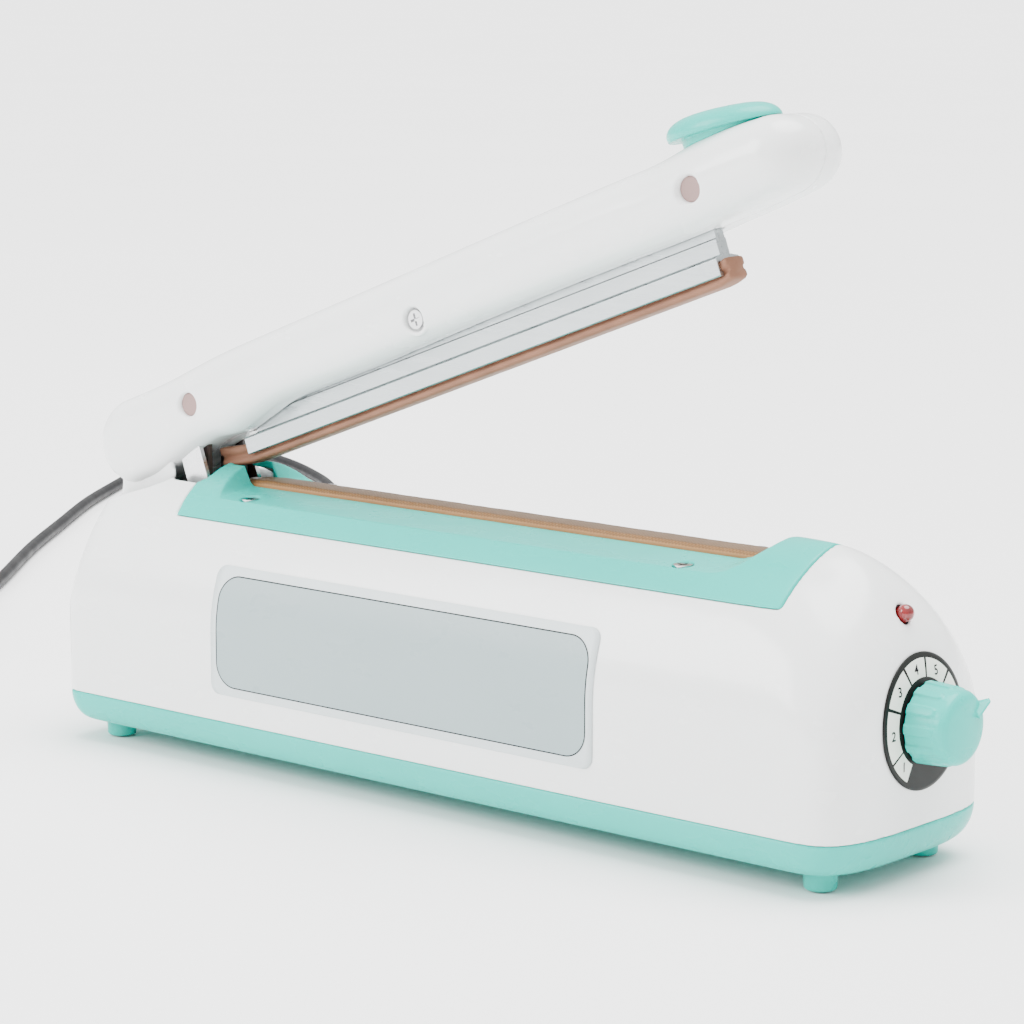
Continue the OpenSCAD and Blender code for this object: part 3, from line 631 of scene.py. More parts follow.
def trough_cuts():
    """What is cut away above the trough: one sloping half on each side, with a ramp at each end."""
    steep = [(-103, 120), (-102.8, 94), (-101.6, 91), (-99.5, 87.2), (-98, TROUGH_Z)]
    ramp = [(99.5, 0), (102, 0.2), (105, 0.9), (108, 2.3), (111, 4.5), (114.5, 7.5)]
    outline = steep + [(x, TROUGH_Z + z) for x, z in ramp] + [(118, 120)]
    cuts = []
    for s in (-1, 1):
        rings = []
        for y in (-0.02 * s, 60 * s):
            fall = TROUGH_FALL * (TROUGH_EDGE - abs(y))
            rings.append([(x, y, z + fall) for x, z in reversed(outline)])
        if s < 0:
            rings.reverse()
        cuts.append(loft(rings))
    return cuts


def throat_cut():
    """The rounded opening in the crown that the hinge and the arm's legs pass through."""
    corner = 4
    plan = [(NECK_RIGHT + 0.2, THROAT), (-124, THROAT)]
    for cx in (-122, THROAT_RIGHT - corner):
        for i in range(13):
            t = radians(180 - 15 * i)
            plan.append((cx + corner * cos(t), THROAT_HALF - corner + corner * sin(t)))
    return hull_of([(x, s * y, z) for x, y in plan for s in (-1, 1) for z in (60, 120)])


def neck_shape():
    """The pillar that the arm's tail closes over, before it is hollowed."""
    def ring(z, inset):
        line = []
        corners = ((NECK_RIGHT, NECK_HALF, 1.2, 0), (NECK_LEFT, NECK_HALF, 5.0, 90),
                   (NECK_LEFT, -NECK_HALF, 5.0, 180), (NECK_RIGHT, -NECK_HALF, 1.2, 270))
        for x, y, r, turn in corners:
            cx = x + (r if x == NECK_LEFT else -r)
            cy = y - copysign(r, y)
            for i in range(9):
                t = radians(turn + 90 * i / 8)
                line.append((cx + (r - inset) * cos(t), cy + (r - inset) * sin(t), z))
        return line
    return loft([ring(55, 0), ring(NECK_TOP - 1, 0), ring(NECK_TOP - 0.3, 0.25), ring(NECK_TOP, 1.0)])


def make_upper_shell():
    """The white housing: hollow, with the pillar, the throat, and holes for shaft, lead and lamp."""
    shell = make_object("white_housing", *base_form(), BASE, WHITE)
    length = RIGHT - LEFT
    cavity = base_form((1 - 2 * WALL / length, 1 - WALL / HALF, 1 - WALL / (CROWN_Z - SEAM_Z)))
    mouth = block((LEFT + 6, -HALF + 3.2, SEAM_Z - 1), (RIGHT - 8, HALF - 3.2, SEAM_Z + 1))
    slope = [(-170, 77), (-150, 78), (-144, 80), (-138, 82), (-132, 84), (-127, 86.2), (-122.5, 89),
             (-122.5, 120), (-170, 120)]
    shoulders = [prism_y(slope, y0, y1) for y0, y1 in ((NECK_HALF, 60), (-60, -NECK_HALF))]
    combine(shell, [cavity, mouth, *shoulders, cover_region(0.2), throat_cut()], BASE)
    combine(shell, [neck_shape()], BASE, "UNION")
    hollow = block((NECK_LEFT + 2, -THROAT, 50), (NECK_RIGHT + 1, THROAT, NECK_TOP - 1.8))
    doorway = block((NECK_RIGHT - 6, -THROAT, 50), (NECK_RIGHT + 5, THROAT, NECK_TOP + 1))
    bush = straight((140, 0, DIAL_Z), (1, 0, 0), 30, 4)
    gland = straight((-118, 30, 24), (0, 1, 0), 20, 4.7)
    lamp_hole = straight(LAMP_AT - LAMP_AXIS * 6, LAMP_AXIS, 12, 3.0)
    combine(shell, [hollow, doorway, bush, gland, lamp_hole], BASE)
    moulded(shell, 0.6, 3, 0.5)
    settle(shell, "base", "white_abs", "upper_shell")


def make_pan():
    """The mint pan with its rounded lower edge, hollow, and recessed for its screws."""
    def ring(z, inset):
        middle, length = (LEFT + RIGHT) / 2, RIGHT - LEFT
        return [(middle + (x - middle) * (1 - 2 * inset / length), y * (1 - inset / HALF), z)
                for x, y in base_outline(SEAM_Z)]
    steps = 16

    def form(inset, low, high):
        return loft([ring(low + (high - low) * (1 - cos(pi / 2 * k / steps)),
                          inset + 5.5 * (1 - sin(pi / 2 * k / steps))) for k in range(steps + 1)])
    pan = make_object("mint_pan", *form(0.02, FOOT_Z, SEAM_Z - 0.02), BASE, MINT)
    recesses = [straight((x, y, 0), UP, 9, 3.6) for x, y in four_places(*PAN_SCREWS_AT)]
    combine(pan, [form(WALL, FOOT_Z + WALL, SEAM_Z + 2), *recesses], BASE)
    moulded(pan, 0.6, 2, 0.5)
    settle(pan, "base", "mint_abs", "bottom_pan")


def make_feet():
    """Four turned feet in one piece, as in their CAD node."""
    form = [(0, 3.2), (0.0, 3.6), (0.03, 4.3), (0.08, 4.62), (0.16, 4.75), (0.8, 4.95), (0.86, 5.2),
            (0.9, 5.9), (1.0, 6.4)]
    points, faces = [], []
    for x, y in four_places(*FEET_AT):
        p, f = rod((x, y, 0), UP, 7, form, 64)
        faces += [tuple(i + len(points) for i in face) for face in f]
        points += p
    feet = make_object("mint_feet", points, faces, BASE, MINT)
    settle(feet, "base", "mint_abs", "feet")


def make_cover():
    """The trough's cover: a skin of the outer form, with screw bosses and a passage for the jaw."""
    cover = make_object("mint_cover", *base_form(), BASE, MINT)
    combine(cover, [cover_region(0)], BASE, "INTERSECT")
    lowered = BASE @ Matrix.Translation((0, 0, -COVER_WALL))
    inner = make_object("inner", *base_form((0.99, 1 - COVER_WALL / HALF, 1)), lowered, None)
    combine(inner, trough_cuts(), lowered)
    cut_with(cover, inner)
    screws = four_places(*COVER_SCREWS_AT)
    combine(cover, [straight((x, y, 79.4), UP, 4.0, 4.4) for x, y in screws], BASE, "UNION")
    slot = block((SLOT_LEFT, -SLOT_HALF, 60), (STRIP_RIGHT + 0.5, SLOT_HALF, 120))
    round_end = straight((SLOT_LEFT, 0, 60), UP, 60, SLOT_HALF)
    jaw_way = block((JAW_LEFT - 0.6, -SLOT_HALF, 88), (SLOT_LEFT, SLOT_HALF, 120))
    silicone_way = block((-120, -PASSAGE_HALF, 88), (JAW_LEFT, PASSAGE_HALF, 120))
    wells = [rod((x, y, 82.6), UP, 10, [(0, 3.15), (1, 3.4)]) for x, y in screws]
    holes = [straight((x, y, 60), UP, 40, 1.7) for x, y in screws]
    combine(cover, [*trough_cuts(), slot, round_end, jaw_way, silicone_way, throat_cut(), *wells, *holes],
            BASE)
    moulded(cover, 0.45, 3, 0.5)
    settle(cover, "base", "mint_abs", "top_cover")


def make_seal_strip():
    """The woven strip folded over the heater rail. Its ends go under the cover."""
    half, edge, hem = 5.5, 1.3, 81.0
    profile = [(-half, hem), (-half, STRIP_TOP - edge - 0.2), (-half + 0.2, STRIP_TOP - edge + 0.25),
               (edge - half - 0.15, STRIP_TOP - 0.2), (edge - half + 0.4, STRIP_TOP), (0, STRIP_TOP + 0.05),
               (half - edge - 0.4, STRIP_TOP), (half - edge + 0.15, STRIP_TOP - 0.2),
               (half - 0.2, STRIP_TOP - edge + 0.25), (half, STRIP_TOP - edge - 0.2), (half, hem)]
    rings = []
    steps = 206
    tucked_in = STRIP_RIGHT + 6.5
    for i in range(steps + 1):
        x = STRIP_LEFT + (tucked_in - STRIP_LEFT) * i / steps
        dip = max(0.0, 1 - (x - STRIP_LEFT) / 13) ** 2 * 1.1
        ripple = 0.035 * sin(x * 0.21) + 0.02 * sin(x * 0.67 + 1)
        rings.append([(x, y * (1 - 0.03 * dip), z - dip + (ripple if z > 85 else 0)) for y, z in profile])
    strip = make_object("woven_seal_strip", *loft(rings, closed=False, caps=False), BASE, SEAL)
    skin = strip.modifiers.new("skin", "SOLIDIFY")
    skin.thickness = 0.3 * MM
    skin.offset = -1 if is_outward(strip) else 1
    applied(strip)
    settle(strip, "base", "woven_ptfe", "seal_strip")


def is_outward(obj):
    """Do the faces at the top of a piece look up?"""
    top = max(obj.data.polygons, key=lambda p: p.center.z)
    return top.normal.z > 0


def surface_patch(name, outline, lift, material):
    """A film that follows the base's front face. outline(x_share, z_share) gives (x, z)."""
    rows, columns = 40, 60
    grid = []
    for i in range(rows + 1):
        places = [outline(k / columns, i / rows) for k in range(columns + 1)]
        grid.append([(x, -half_at(z) - lift, z) for x, z in places])
    return make_object(name, *loft(grid, closed=False, caps=False), BASE, material)


def rounded_patch(x0, x1, z0, z1, radius):
    """Maps a unit square onto a rectangle with round corners. Rows crowd towards the corners."""
    def place(u, v):
        z = z0 + (z1 - z0) * (0.5 - 0.5 * cos(pi * v))
        from_end = min(z - z0, z1 - z)
        inset = 0.0
        if from_end < radius:
            inset = radius - sqrt(max(0.0, radius ** 2 - (radius - from_end) ** 2))
        return x0 + inset + (x1 - x0 - 2 * inset) * u, z
    return place


# Left, right, low and high edges, and the corners' radius.
BORDER_AT = (-85, 72, 25, 66, 3.5)
PANEL_AT = (-82.2, 69.2, 28.0, 63.0, 7.5)


def panel_edge():
    """Places (x, z) round the panel's edge and back to the first, each with its outward direction."""
    x0, x1, z0, z1, r = PANEL_AT
    corners = ((x1 - r, z1 - r, 0), (x0 + r, z1 - r, 90), (x0 + r, z0 + r, 180), (x1 - r, z0 + r, 270))
    path = [(cx, cz, radians(turn + 90 * i / 16)) for cx, cz, turn in corners for i in range(17)]
    edge = []
    for i, (cx, cz, t) in enumerate(path):
        nx, nz = cos(t), sin(t)
        edge.append((cx + r * nx, cz + r * nz, nx, nz))
        next_x, next_z, _ = path[(i + 1) % len(path)]
        if (next_x, next_z) != (cx, cz):
            edge += [(cx + (next_x - cx) * k / 24 + r * nx, cz + (next_z - cz) * k / 24 + r * nz, nx, nz)
                     for k in range(1, 24)]
    return edge + [edge[0]]


def make_label():
    """A printed film: a pale border, a grey panel and a fine black line around it."""
    border = surface_patch("label_border", rounded_patch(*BORDER_AT), 0.24, LABEL)
    thicken(border, 0.16)
    settle(border, "base", "label_film", "label_plate")
    panel = surface_patch("label_panel", rounded_patch(*PANEL_AT), 0.36, PANEL)
    settle(panel, "base", "label_film")
    rings = []
    for x, z, nx, nz in panel_edge():
        sides = [(x + nx * out, z + nz * out) for out in (-0.02, 0.34)]
        rings.append([(a, -half_at(b) - 0.40, b) for a, b in sides])
    line = make_object("label_outline", *loft(rings, closed=False, caps=False), BASE, INK)
    settle(line, "base", "label_film")


def thicken(obj, thickness):
    """Gives a film its thickness, in millimetres, half on each side."""
    skin = obj.modifiers.new("skin", "SOLIDIFY")
    skin.thickness = thickness * MM
    skin.offset = 0
    applied(obj)


# ---- the dial, the knob and the lamp

def polar_patch(name, r0, r1, a0, a1, lift, material):
    """Part of a ring on the right end's surface. Angles are in degrees from +Y towards +Z."""
    rows = max(2, int((r1 - r0) * 1.2))
    columns = max(4, int((a1 - a0) / 3))
    grid = []
    for i in range(rows + 1):
        r = r0 + (r1 - r0) * i / rows
        angles = [radians(a0 + (a1 - a0) * k / columns) for k in reversed(range(columns + 1))]
        places = [(r * cos(a), DIAL_Z + r * sin(a)) for a in angles]
        grid.append([(end_face_x(y, z) + lift, y, z) for y, z in places])
    return make_object(name, *loft(grid, closed=False, caps=False), BASE, material)


# Each field's number, with the angles of the lines before and after it.
SECTORS = [(1, 214, 244), (2, 160, 214), (3, 117, 160), (4, 82, 117), (5, 44, 82), (6, 0, 44), (7, -54, 0)]


def make_dial():
    """A black disc with a pale field and a digit for each setting. The first field is cut short."""
    field_low, field_high, digit_r = 12.6, 17.9, 15.1
    plate = polar_patch("dial_plate_film", 4.3, DIAL_R, 0, 360, 0.35, DIAL_BLACK)
    thicken(plate, 0.3)
    settle(plate, "base", "dial_black", "dial_plate")
    for number, a0, a1 in SECTORS:
        line = 1.6 if number > 1 else 0.9
        field = polar_patch(f"dial_field_{number}", field_low, field_high, a0 + line, a1 - 1.6, 0.54,
                            DIAL_CREAM)
        settle(field, "base", "dial_black")
        middle = radians((a0 + a1) / 2)
        make_digit(number, digit_r * cos(middle), DIAL_Z + digit_r * sin(middle))


def make_digit(number, y, z):
    """A printed digit on the dial, upright, laid onto the surface."""
    text = bpy.data.curves.new(f"digit_{number}", "FONT")
    text.body = str(number)
    text.size = 3.9
    text.align_x = "CENTER"
    text.align_y = "CENTER"
    text.resolution_u = 4
    text.offset = 0.07
    source = new_object("digit", text)
    graph = bpy.context.evaluated_depsgraph_get()
    flat = bpy.data.meshes.new_from_object(source.evaluated_get(graph))
    points = [(end_face_x(y + v.co.x, z + v.co.y) + 0.58, y + v.co.x, z + v.co.y) for v in flat.vertices]
    faces = [tuple(p.vertices) for p in flat.polygons]
    bpy.data.objects.remove(source)
    digit = make_object(f"dial_digit_{number}", points, faces, BASE, INK, smooth=False)
    settle(digit, "base", "dial_black")


def knob_form(back, length):
    """A tapered knob with raised grips, a soft shoulder and a crowned face, from its back."""
    grips, sides = 12, 288
    # Share of the length, and radius.
    profile = [(0.0, 11.0), (0.012, 11.3), (0.03, 11.45), (0.2, 11.35), (0.4, 11.2), (0.6, 11.0),
               (0.72, 10.85), (0.80, 10.65), (0.86, 10.25), (0.905, 9.6), (0.935, 8.7), (0.955, 7.4),
               (0.975, 5.4), (0.99, 3.0), (1.0, 0.05)]
    fine = []
    for (s0, r0), (s1, r1) in zip(profile, profile[1:]):
        fine += [(s0 + (s1 - s0) * k / 4, r0 + (r1 - r0) * k / 4) for k in range(4)]
    rings = []
    for share, r in fine + [profile[-1]]:
        ring = []
        for t in turns(sides):
            off_grip = abs((grips * t / (2 * pi) + 0.5) % 1 - 0.5)
            side = clamp((0.27 - off_grip) / 0.06)
            end = clamp((0.66 - 0.9 * max(0.0, off_grip - 0.14) - share) / 0.035)
            rr = r + 0.42 * side * end - 0.12 * (1 - side) * clamp((0.78 - share) / 0.08)
            ring.append((back + length * share, rr * cos(t), DIAL_Z + rr * sin(t)))
        rings.append(ring)
    return loft(rings)


def knob_pointer(front):
    """The ridge across the knob's face that ends in a pointer at its rim."""
    angle = radians(34)
    out = Vector((0, cos(angle), sin(angle)))
    across = Vector((0, -sin(angle), cos(angle)))
    # Place past the knob's front, distance from its axis, and half the ridge's width there.
    ridge = [(-3.4, 9.2, 1.3), (-0.2, 12.6, 0.25), (-0.9, 5.2, 0.35), (0.9, 11.6, 0.25), (0.8, 4.8, 0.4),
             (-1.8, 8.0, 1.6)]
    return hull_of([tuple(Vector((front + x, 0, DIAL_Z)) + out * r + across * (half * s))
                    for x, r, half in ridge for s in (-1, 1)])


def make_knob():
    low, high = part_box("timer_knob")
    back, front = (low[0] - BASE_X) / MM, (high[0] - BASE_X) / MM
    knob = make_object("mint_knob", *knob_form(back, front - back), BASE, MINT)
    combine(knob, [knob_pointer(front)], BASE, "UNION")
    combine(knob, [straight((back - 1, 0, DIAL_Z), (1, 0, 0), 5, 8)], BASE)
    moulded(knob, 0.2, 2, 0.5)
    settle(knob, "knob", "mint_abs", "timer_knob")


def hull_of(points):
    """The convex hull of a few points, as points and faces."""
    work = bmesh.new()
    for p in points:
        work.verts.new(p)
    result = bmesh.ops.convex_hull(work, input=work.verts)
    spare = {v for v in result["geom_interior"] + result["geom_unused"] if isinstance(v, bmesh.types.BMVert)}
    bmesh.ops.delete(work, geom=list(spare), context="VERTS")
    bmesh.ops.recalc_face_normals(work, faces=work.faces)
    work.verts.index_update()
    shape = [tuple(v.co) for v in work.verts], [tuple(v.index for v in f.verts) for f in work.faces]
    work.free()
    return shape


LAMP_AT = Vector((151.6, 0, 75.4))
LAMP_AXIS = Vector((sin(radians(62)), 0, cos(radians(62))))


def make_lamp():
    """A red lens with a domed end, in a thin dark bezel."""
    quarter = [pi / 2 * k / 12 for k in range(1, 12)]
    dome = [(0, 2.5), (0.62, 2.5)]
    dome += [(0.62 + 0.38 * sin(t), 2.5 * cos(t)) for t in quarter]
    dome.append((1.0, 0.02))
    lens = make_object("red_lamp", *rod(LAMP_AT - LAMP_AXIS * 2.6, LAMP_AXIS, 6.4, dome, 64), BASE, LENS)
    settle(lens, "base", "red_lens", "pilot_lamp")
    ring = [(0, 2.62), (0, 3.0), (0.8, 3.0), (1.0, 2.9), (1.0, 2.66), (0, 2.62)]
    points, faces = rod(LAMP_AT - LAMP_AXIS * 2.8, LAMP_AXIS, 2.9, ring, 64)
    bezel = make_object("lamp_bezel", points, faces[:-2], BASE, DARK)
    settle(bezel, "base", "black_plastic")


# ---- the arm

TAIL_AT, TAIL_R = (-151.0, 107.8), 14.3
GRIP_AT, GRIP_REACH, GRIP_R = (126.0, 117.5), 14.5, 11.5
# Place along the arm, underside, top, half width and corner radii above and below.
SECTIONS = [(-151, 93.5, 122.1, 17, 7, 6), (-143, 93.8, 122.2, 17, 7.5, 6.5), (-136, 95.2, 122.4, 17, 8, 7),
            (-129, 97, 122.9, 17, 9, 7.5), (-116, 99.2, 124.2, 16.8, 10, 7.5),
            (-105, 98.6, 125.1, 16.6, 10.5, 7.5), (-95, 100.4, 125.4, 16.6, 10.5, 7.5),
            (-82, 102.7, 125.6, 16.6, 10.5, 7.5), (-44, 103.1, 126.1, 16.6, 10.5, 7.5),
            (0, 104.2, 126.8, 16.6, 10.5, 7.5), (44, 104.8, 127.5, 16.6, 10.5, 7.5),
            (73, 104.8, 127.8, 16.8, 10.8, 8), (88, 104.8, 128, 17.1, 12, 9), (102, 105, 129.4, 17.5, 12, 11),
            (114, 105.2, 129.8, 17.5, 12.2, 12), (126, 106, 129, 17.2, 11.5, 11.4)]


def section_at(x):
    """The arm's section at x, on a smooth curve through the table's rows."""
    for i in range(len(SECTIONS) - 1):
        a, b = SECTIONS[i], SECTIONS[i + 1]
        if a[0] <= x <= b[0]:
            before, after = SECTIONS[max(0, i - 1)], SECTIONS[min(len(SECTIONS) - 1, i + 2)]
            t = (x - a[0]) / (b[0] - a[0])
            values = []
            for k in range(1, 6):
                ma = (b[k] - before[k]) / (b[0] - before[0]) * (b[0] - a[0])
                mb = (after[k] - a[k]) / (after[0] - a[0]) * (b[0] - a[0])
                values.append((2 * t ** 3 - 3 * t ** 2 + 1) * a[k] + (t ** 3 - 2 * t ** 2 + t) * ma
                              + (3 * t ** 2 - 2 * t ** 3) * b[k] + (t ** 3 - t ** 2) * mb)
            return values
    raise ValueError("outside the arm")


def arm_stations():
    """(x, underside, top, half width, upper radius, lower radius) from the tail's tip to the grip's tip."""
    stations = []
    for i in range(14):
        a = radians(4 + 86 * i / 14)
        rim = TAIL_R * (1 - cos(a))
        half = 17 if rim >= 5 else 12 + sqrt(25 - (5 - rim) ** 2)
        tall = TAIL_R * sin(a)
        stations.append((TAIL_AT[0] - TAIL_R * cos(a), TAIL_AT[1] - tall, TAIL_AT[1] + tall, half,
                         min(7, 2 + 0.6 * tall), min(6, 2 + 0.5 * tall)))
    x = TAIL_AT[0]
    while x < GRIP_AT[0] - 0.01:
        stations.append((x, *section_at(x)))
        x += 2.2
    for i in range(16):
        a = radians(90 - 87 * i / 15)
        s = sin(a)
        stations.append((GRIP_AT[0] + GRIP_REACH * cos(a), GRIP_AT[1] - GRIP_R * s,
                         GRIP_AT[1] + GRIP_R * s, 17.2 * s ** 0.8, 99, 99))
    return stations


def arm_form(inset):
    """The arm's outer form, or with an inset its hollow, which leaves out both tips."""
    rings = []
    for x, low, high, half, upper, lower in arm_stations():
        beyond_tail = x < TAIL_AT[0] - TAIL_R + 1.2 * inset
        beyond_grip = x > GRIP_AT[0] + GRIP_REACH - 2 * inset
        if inset > 1 and (beyond_tail or beyond_grip):
            continue
        low, high, half = low + inset, high - inset, half - inset
        most = min(half, (high - low) / 2) - 0.02
        upper, lower = min(most, upper - inset * 0.5), min(most, lower - inset * 0.5)
        ring = []
        for turn in range(4):
            r = upper if turn < 2 else lower
            cy = half - r if turn in (0, 3) else r - half
            cz = high - r if turn < 2 else low + r
            for i in range(13):
                a = pi / 2 * (turn + i / 12)
                ring.append((x, cy + r * cos(a), cz + r * sin(a)))
        rings.append(ring)
    return loft(rings)


AXLE_AT = (PIVOT_X, PIVOT_Z)
SCREWS_AT = [(-12.5, 110.5), (102.4, 116.0)]
SLITS_AT = (-25.0, 35.0, 90.0)


def make_arm_half(name, side, node):
    """One half of the arm: hollow, with bosses, recesses and the pillar's room in its tail."""
    half = make_object(name, *arm_form(0), ARM, WHITE)
    away = block((-300, 0, 0), (300, 300, 300)) if side < 0 else block((-300, -300, 0), (300, 0, 300))
    bosses = [straight((x, side * 12.2, z), (0, side, 0), 3.2, 5.2) for x, z in [AXLE_AT, *SCREWS_AT]]
    combine(half, [arm_form(2.2)], ARM)
    combine(half, bosses, ARM, "UNION")
    # The pillar's room in the tail, which stays closed at its end.
    room = [(-106, 80), (-106, 106), (-130, 106), (-130, 111.5), (-158.6, 111.5), (-165.6, 92), (-170, 80)]
    cuts = [away, prism_y(room[::-1], -14.8, 14.8), block((-110, -2.8, 90), (97.5, 2.8, 110))]
    well = [(0, 3.7), (0.45, 3.8), (0.6, 4.5), (1, 5.0)]
    for x, z in [AXLE_AT, *SCREWS_AT]:
        if side < 0 or (x, z) == AXLE_AT:
            cuts.append(rod((x, side * 13.2, z), (0, side, 0), 6, well))
        cuts.append(straight((x, side * 5, z), (0, side, 0), 9.2, 3.3 if (x, z) == AXLE_AT else 1.8))
    cuts += [block((x - 4.6, -4.3, 90), (x + 4.6, 4.3, 103.6)) for x in SLITS_AT]
    combine(half, cuts, ARM)
    moulded(half, 0.5, 2, 0.5)
    settle(half, "arm", "white_abs", node)


def make_recess_plugs():
    """Shallow cups of painted shade that close the front recesses over the axle and over the grip's screw,
    where the white recesses lie in shadow.
    """
    dish = [(0, 3.75), (0.7, 3.75), (1.0, 3.6), (0.92, 3.1), (0.75, 1.8), (0.70, 0.05)]
    for name, x, z in (("axle_shade_cup", *AXLE_AT), ("grip_shade_cup", *SCREWS_AT[-1])):
        plug = make_object(name, *rod((x, -14.7, z), (0, -1, 0), 0.75, dish), ARM, RECESS_SHADE)
        settle(plug, "arm", "white_abs")


def make_thumb_pad():
    """A leaf-shaped thumb rest: a crowned cap with a rim, floating over a narrower stem."""
    cx, rim_z, tilt, crown = 108.2, 131.0, 0.076, 6.0
    half_length, half_width, sides = 19.3, 12.5, 96

    def below(share, shift, z):
        """An ellipse of the stem, at a share of the cap's size."""
        return [(cx + shift + half_length * share * cos(a), half_width * share * sin(a),
                 z - tilt * half_length * share * cos(a)) for a in turns(sides)]
    rings = [below(0.78, 1.0, 122.0), below(0.8, 1.0, rim_z - 0.2), below(0.97, 0, rim_z)]
    steps = 20
    for i in range(steps + 1):
        t = pi / 2 * i / steps
        shrink = cos(t) ** 0.62
        ring = []
        for a in turns(sides):
            x = half_length * cos(a) * shrink
            y = half_width * signed_power(sin(a), 1.1) * shrink
            lip = 0.65 * (1 - cos(a)) * shrink
            ring.append((cx + x, y, rim_z - tilt * x + lip + crown * sin(t)))
        rings.append(ring)
    pad = make_object("mint_thumb_pad", *loft(rings), ARM, MINT)
    combine(pad, [arm_form(0.02)], ARM)
    moulded(pad, 0.3, 1, 0.5)
    settle(pad, "arm", "mint_abs", "thumb_pad")


def make_silicone():
    """The jaw's silicone cord: an hourglass section, with its cut ends a little soft and lifted."""
    right_half = [(0.0, 88.35), (2.0, 88.35), (3.5, 88.5), (4.15, 89.0), (4.25, 89.7), (4.0, 90.4),
                  (3.4, 90.9), (3.25, 91.5), (3.4, 92.1), (4.1, 92.5), (4.3, 93.2), (4.3, 94.3), (3.9, 94.9),
                  (2.4, 95.05)]
    profile = right_half + [(-y, z) for y, z in reversed(right_half[1:])]
    left, right, middle_z = -121.9, 99.4, 91.7
    # Distance from a cut end, and the section's size there.
    ends = [(0, 0.88), (0.25, 0.96), (0.7, 1.0)]
    stations = [(left + d, size) for d, size in ends]
    stations += [(left + 0.7 + (right - left - 1.4) * i / 110, 1.0) for i in range(1, 110)]
    stations += [(right - d, size) for d, size in reversed(ends)]
    rings = []
    for x, size in stations:
        wave = 0.06 * sin(x * 0.11) + 0.04 * sin(x * 0.29)
        lift = 2.0 * clamp((-108 - x) / 14) ** 1.5 + 1.2 * clamp((x - 92) / 7.4) ** 2
        rings.append([(x, (y + wave) * size, middle_z + (z - middle_z) * size + lift) for y, z in profile])
    cord = make_object("silicone_jaw_strip", *loft(rings), ARM, SILICONE)
    settle(cord, "arm", "silicone", "silicone_strip")


def make_jaw():
    """The extruded aluminium jaw: a web with a thick root, and a channel with rolled lips."""
    right_half = [(9.6, 115.2), (9.8, 115.0), (9.8, 113.8), (9.6, 113.6), (2.6, 113.6), (2.0, 113.0),
                  (2.0, 102.6), (2.35, 102.2), (2.35, 97.6), (2.8, 97.2), (4.9, 96.9), (5.5, 96.4),
                  (5.5, 91.5), (5.2, 91.2), (3.9, 91.2), (3.7, 91.5), (3.7, 92.3), (4.5, 92.5), (4.5, 95.4)]
    outline = right_half + [(-y, z) for y, z in reversed(right_half)]
    left, right = JAW_LEFT, 97.0
    rings = [[(x, y, z) for y, z in outline] for x in (left, right)]
    jaw = make_object("aluminium_jaw", *loft(rings), ARM, ALUMINIUM, smooth=False)
    # The web is shorter than the channel at both ends.
    cuts = [block((left - 1, -12, 97.4), (left + 3.5, 12, 125)),
            block((right - 0.6, -12, 97.4), (right + 3, 12, 125))]
    cuts += [straight((x, -20, z), (0, 1, 0), 40, 1.8, 32) for x, z in SCREWS_AT]
    combine(jaw, cuts, ARM)
    jaw.data.polygons.foreach_set("use_smooth", [False] * len(jaw.data.polygons))
    add_soft_edges(jaw, 0.12, 50)
    settle(jaw, "arm", "aluminium", "jaw_bar")


# ---- what stays CAD

STEEL_NODES = ("pan_screws", "chassis_bridge", "band_clamps", "timer_shaft", "pot_nut", "transformer_strap",
               "hinge_axle", "axle_washers", "return_spring")
DARK_NODES = ("lamp_holder", "microswitch", "capacitors")
SCREW_NODES = ("cover_screws", "arm_screws")


def channel_steel():
    """Zinc plated outside, with painted shade: dark brown on the faces that look inwards, where the inside of
    the channel lies in shadow.
    """
    material, ns, ls, shader = new_material("channel_steel")
    coord = ns.new("ShaderNodeTexCoord")
    place, facing = ns.new("ShaderNodeSeparateXYZ"), ns.new("ShaderNodeSeparateXYZ")
    ls.new(coord.outputs["Object"], place.inputs[0])
    ls.new(coord.outputs["Normal"], facing.inputs[0])
    # Painted shade: faces that look back towards the middle get a dark brown, which stands for the shadow
    # inside the channel.
    product = add_math(ns, ls, "MULTIPLY", place.outputs["Y"], facing.outputs["Y"])
    inner = add_math(ns, ls, "LESS_THAN", product, -0.001)
    streaks = add_noise(ns, ls, 500, 5, (1, 0.1, 1))
    zinc = add_ramp(ns, ls, streaks, (0.66, 0.67, 0.68), (0.80, 0.81, 0.82))
    inner_shade = add_ramp(ns, ls, streaks, (0.030, 0.018, 0.013), (0.055, 0.034, 0.026))
    ls.new(add_mix(ns, ls, zinc, inner_shade, "MIX", inner), shader.inputs["Base Color"])
    ls.new(add_range(ns, ls, inner, 1.0, 0.0, 0.0, 1.0), shader.inputs["Metallic"])
    ls.new(add_range(ns, ls, streaks, 0.24, 0.36), shader.inputs["Roughness"])
    return material


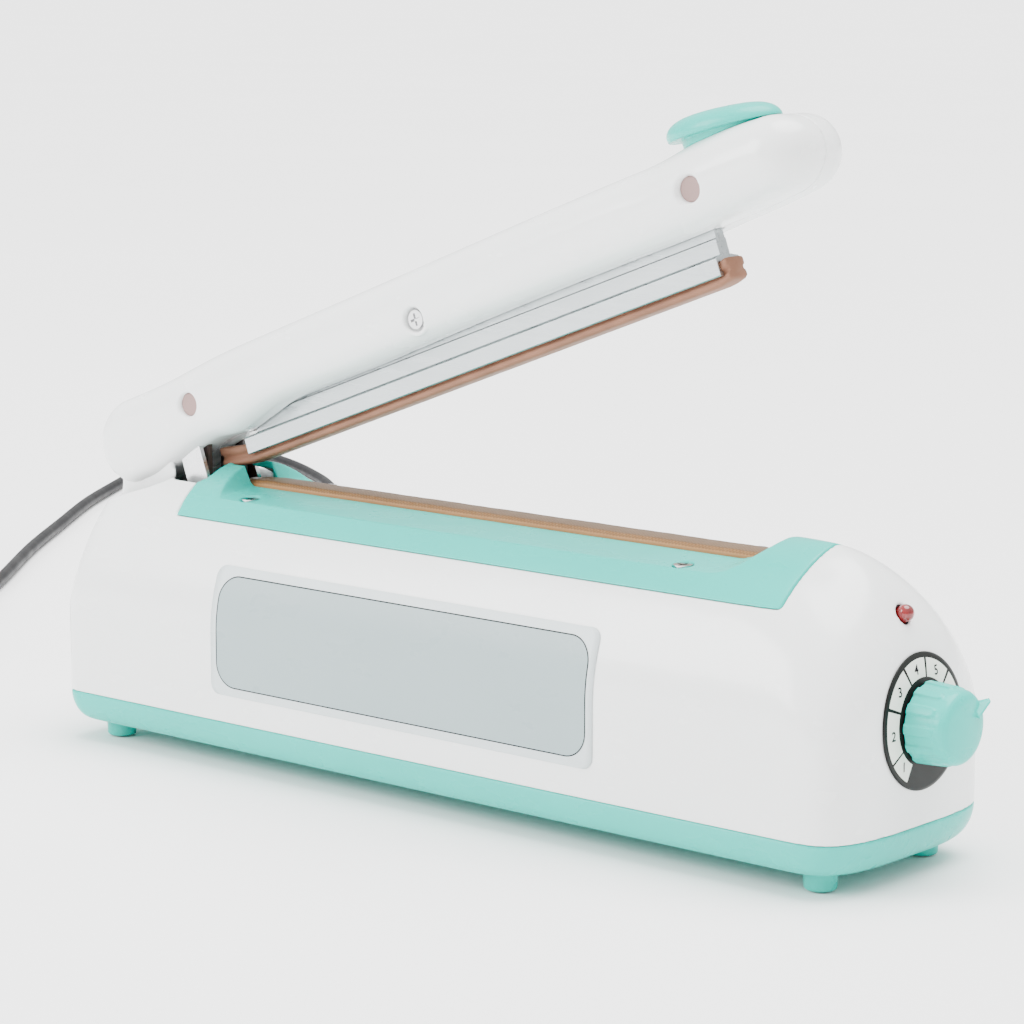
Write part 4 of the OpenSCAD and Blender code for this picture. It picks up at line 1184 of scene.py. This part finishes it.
def finish_cad_nodes():
    """Gives the nodes that stay as the CAD has them their materials."""
    looks = {
        **dict.fromkeys(STEEL_NODES, STEEL), **dict.fromkeys(DARK_NODES, DARK),
        **dict.fromkeys(SCREW_NODES, CHROME), "heater_rail": ALUMINIUM,
        "insulating_tape": plastic("polyimide_tape", (0.58, 0.38, 0.12), 0.05, 0.3, 0.005),
        "heating_band": metal("heating_alloy", (0.45, 0.42, 0.40), 0.35, (0.05, 1, 1)),
        "timer_pot": metal("pot_case", (0.55, 0.55, 0.56), 0.35, (1, 1, 1)),
        "transformer_core": metal("core_steel", (0.16, 0.15, 0.15), 0.5, (1, 0.02, 1), 900),
        "transformer_coil": plastic("coil_tape", (0.60, 0.36, 0.07), 0.06, 0.35, 0.02),
        "circuit_board": plastic("board_green", (0.02, 0.16, 0.06), 0.1, 0.3, 0.01),
        "board_pillars": plastic("nylon", (0.75, 0.75, 0.70), 0.02, 0.4, 0.01),
        "relay": plastic("blue_plastic", (0.02, 0.08, 0.32), 0.05, 0.3, 0.01),
        "arm_channel": channel_steel(),
        # Black painted steel, tinted dark brown as painted shade for the shadow seen between the arm's legs.
        "hinge_bracket": plastic("black_steel", (0.045, 0.030, 0.026), 0.15, 0.45, 0.02),
        "switch_plunger": plastic("plunger_red", (0.5, 0.02, 0.02), 0.05, 0.35, 0.01),
    }
    for name, material in looks.items():
        data = nodes[name].data
        data.materials.clear()
        data.materials.append(material)


# ---- floor and light

def make_studio():
    """A pale floor, a sky, a broad sun overhead and a soft lamp in front."""
    span = 40.0
    floor = make_object("floor", [(-span, -span, 0), (span, -span, 0), (span, span, 0), (-span, span, 0)],
                        [(0, 1, 2, 3)], Matrix.Translation((0, 0, -0.0004)), floor_material(), smooth=False)
    world = bpy.data.worlds.new("studio")
    world.use_nodes = True
    sky = world.node_tree.nodes["Background"]
    sky.inputs["Color"].default_value = (1, 1, 1, 1)
    # The sky is brightest overhead, so that upright faces stay a little darker than level ones.
    ns, ls = world.node_tree.nodes, world.node_tree.links
    direction, height = ns.new("ShaderNodeTexCoord"), ns.new("ShaderNodeSeparateXYZ")
    ls.new(direction.outputs["Generated"], height.inputs[0])
    ls.new(add_range(ns, ls, height.outputs["Z"], 0.9, 2.3, -0.1, 0.9), sky.inputs["Strength"])
    bpy.context.scene.world = world
    overhead = bpy.data.lights.new("overhead", "SUN")
    overhead.angle = radians(50)
    overhead.energy = 6.0
    front = bpy.data.lights.new("front", "AREA")
    front.size = 1.0
    front.energy = 42
    for lamp, place in ((overhead, (0.15, 0.25, 1.6)), (front, (-0.9, -1.4, 0.9))):
        obj = new_object(lamp.name, lamp)
        obj.location = place
        obj.rotation_euler = (Vector((0, 0, 0.08)) - Vector(place)).to_track_quat("-Z", "Y").to_euler()


make_camera()
make_cord()
make_upper_shell()
make_pan()
make_feet()
make_cover()
make_seal_strip()
make_label()
make_dial()
make_knob()
make_lamp()
make_arm_half("arm_front_half", -1, "arm_front_shell")
make_arm_half("arm_rear_half", 1, "arm_rear_shell")
make_recess_plugs()
make_thumb_pad()
make_silicone()
make_jaw()
finish_cad_nodes()
make_studio()
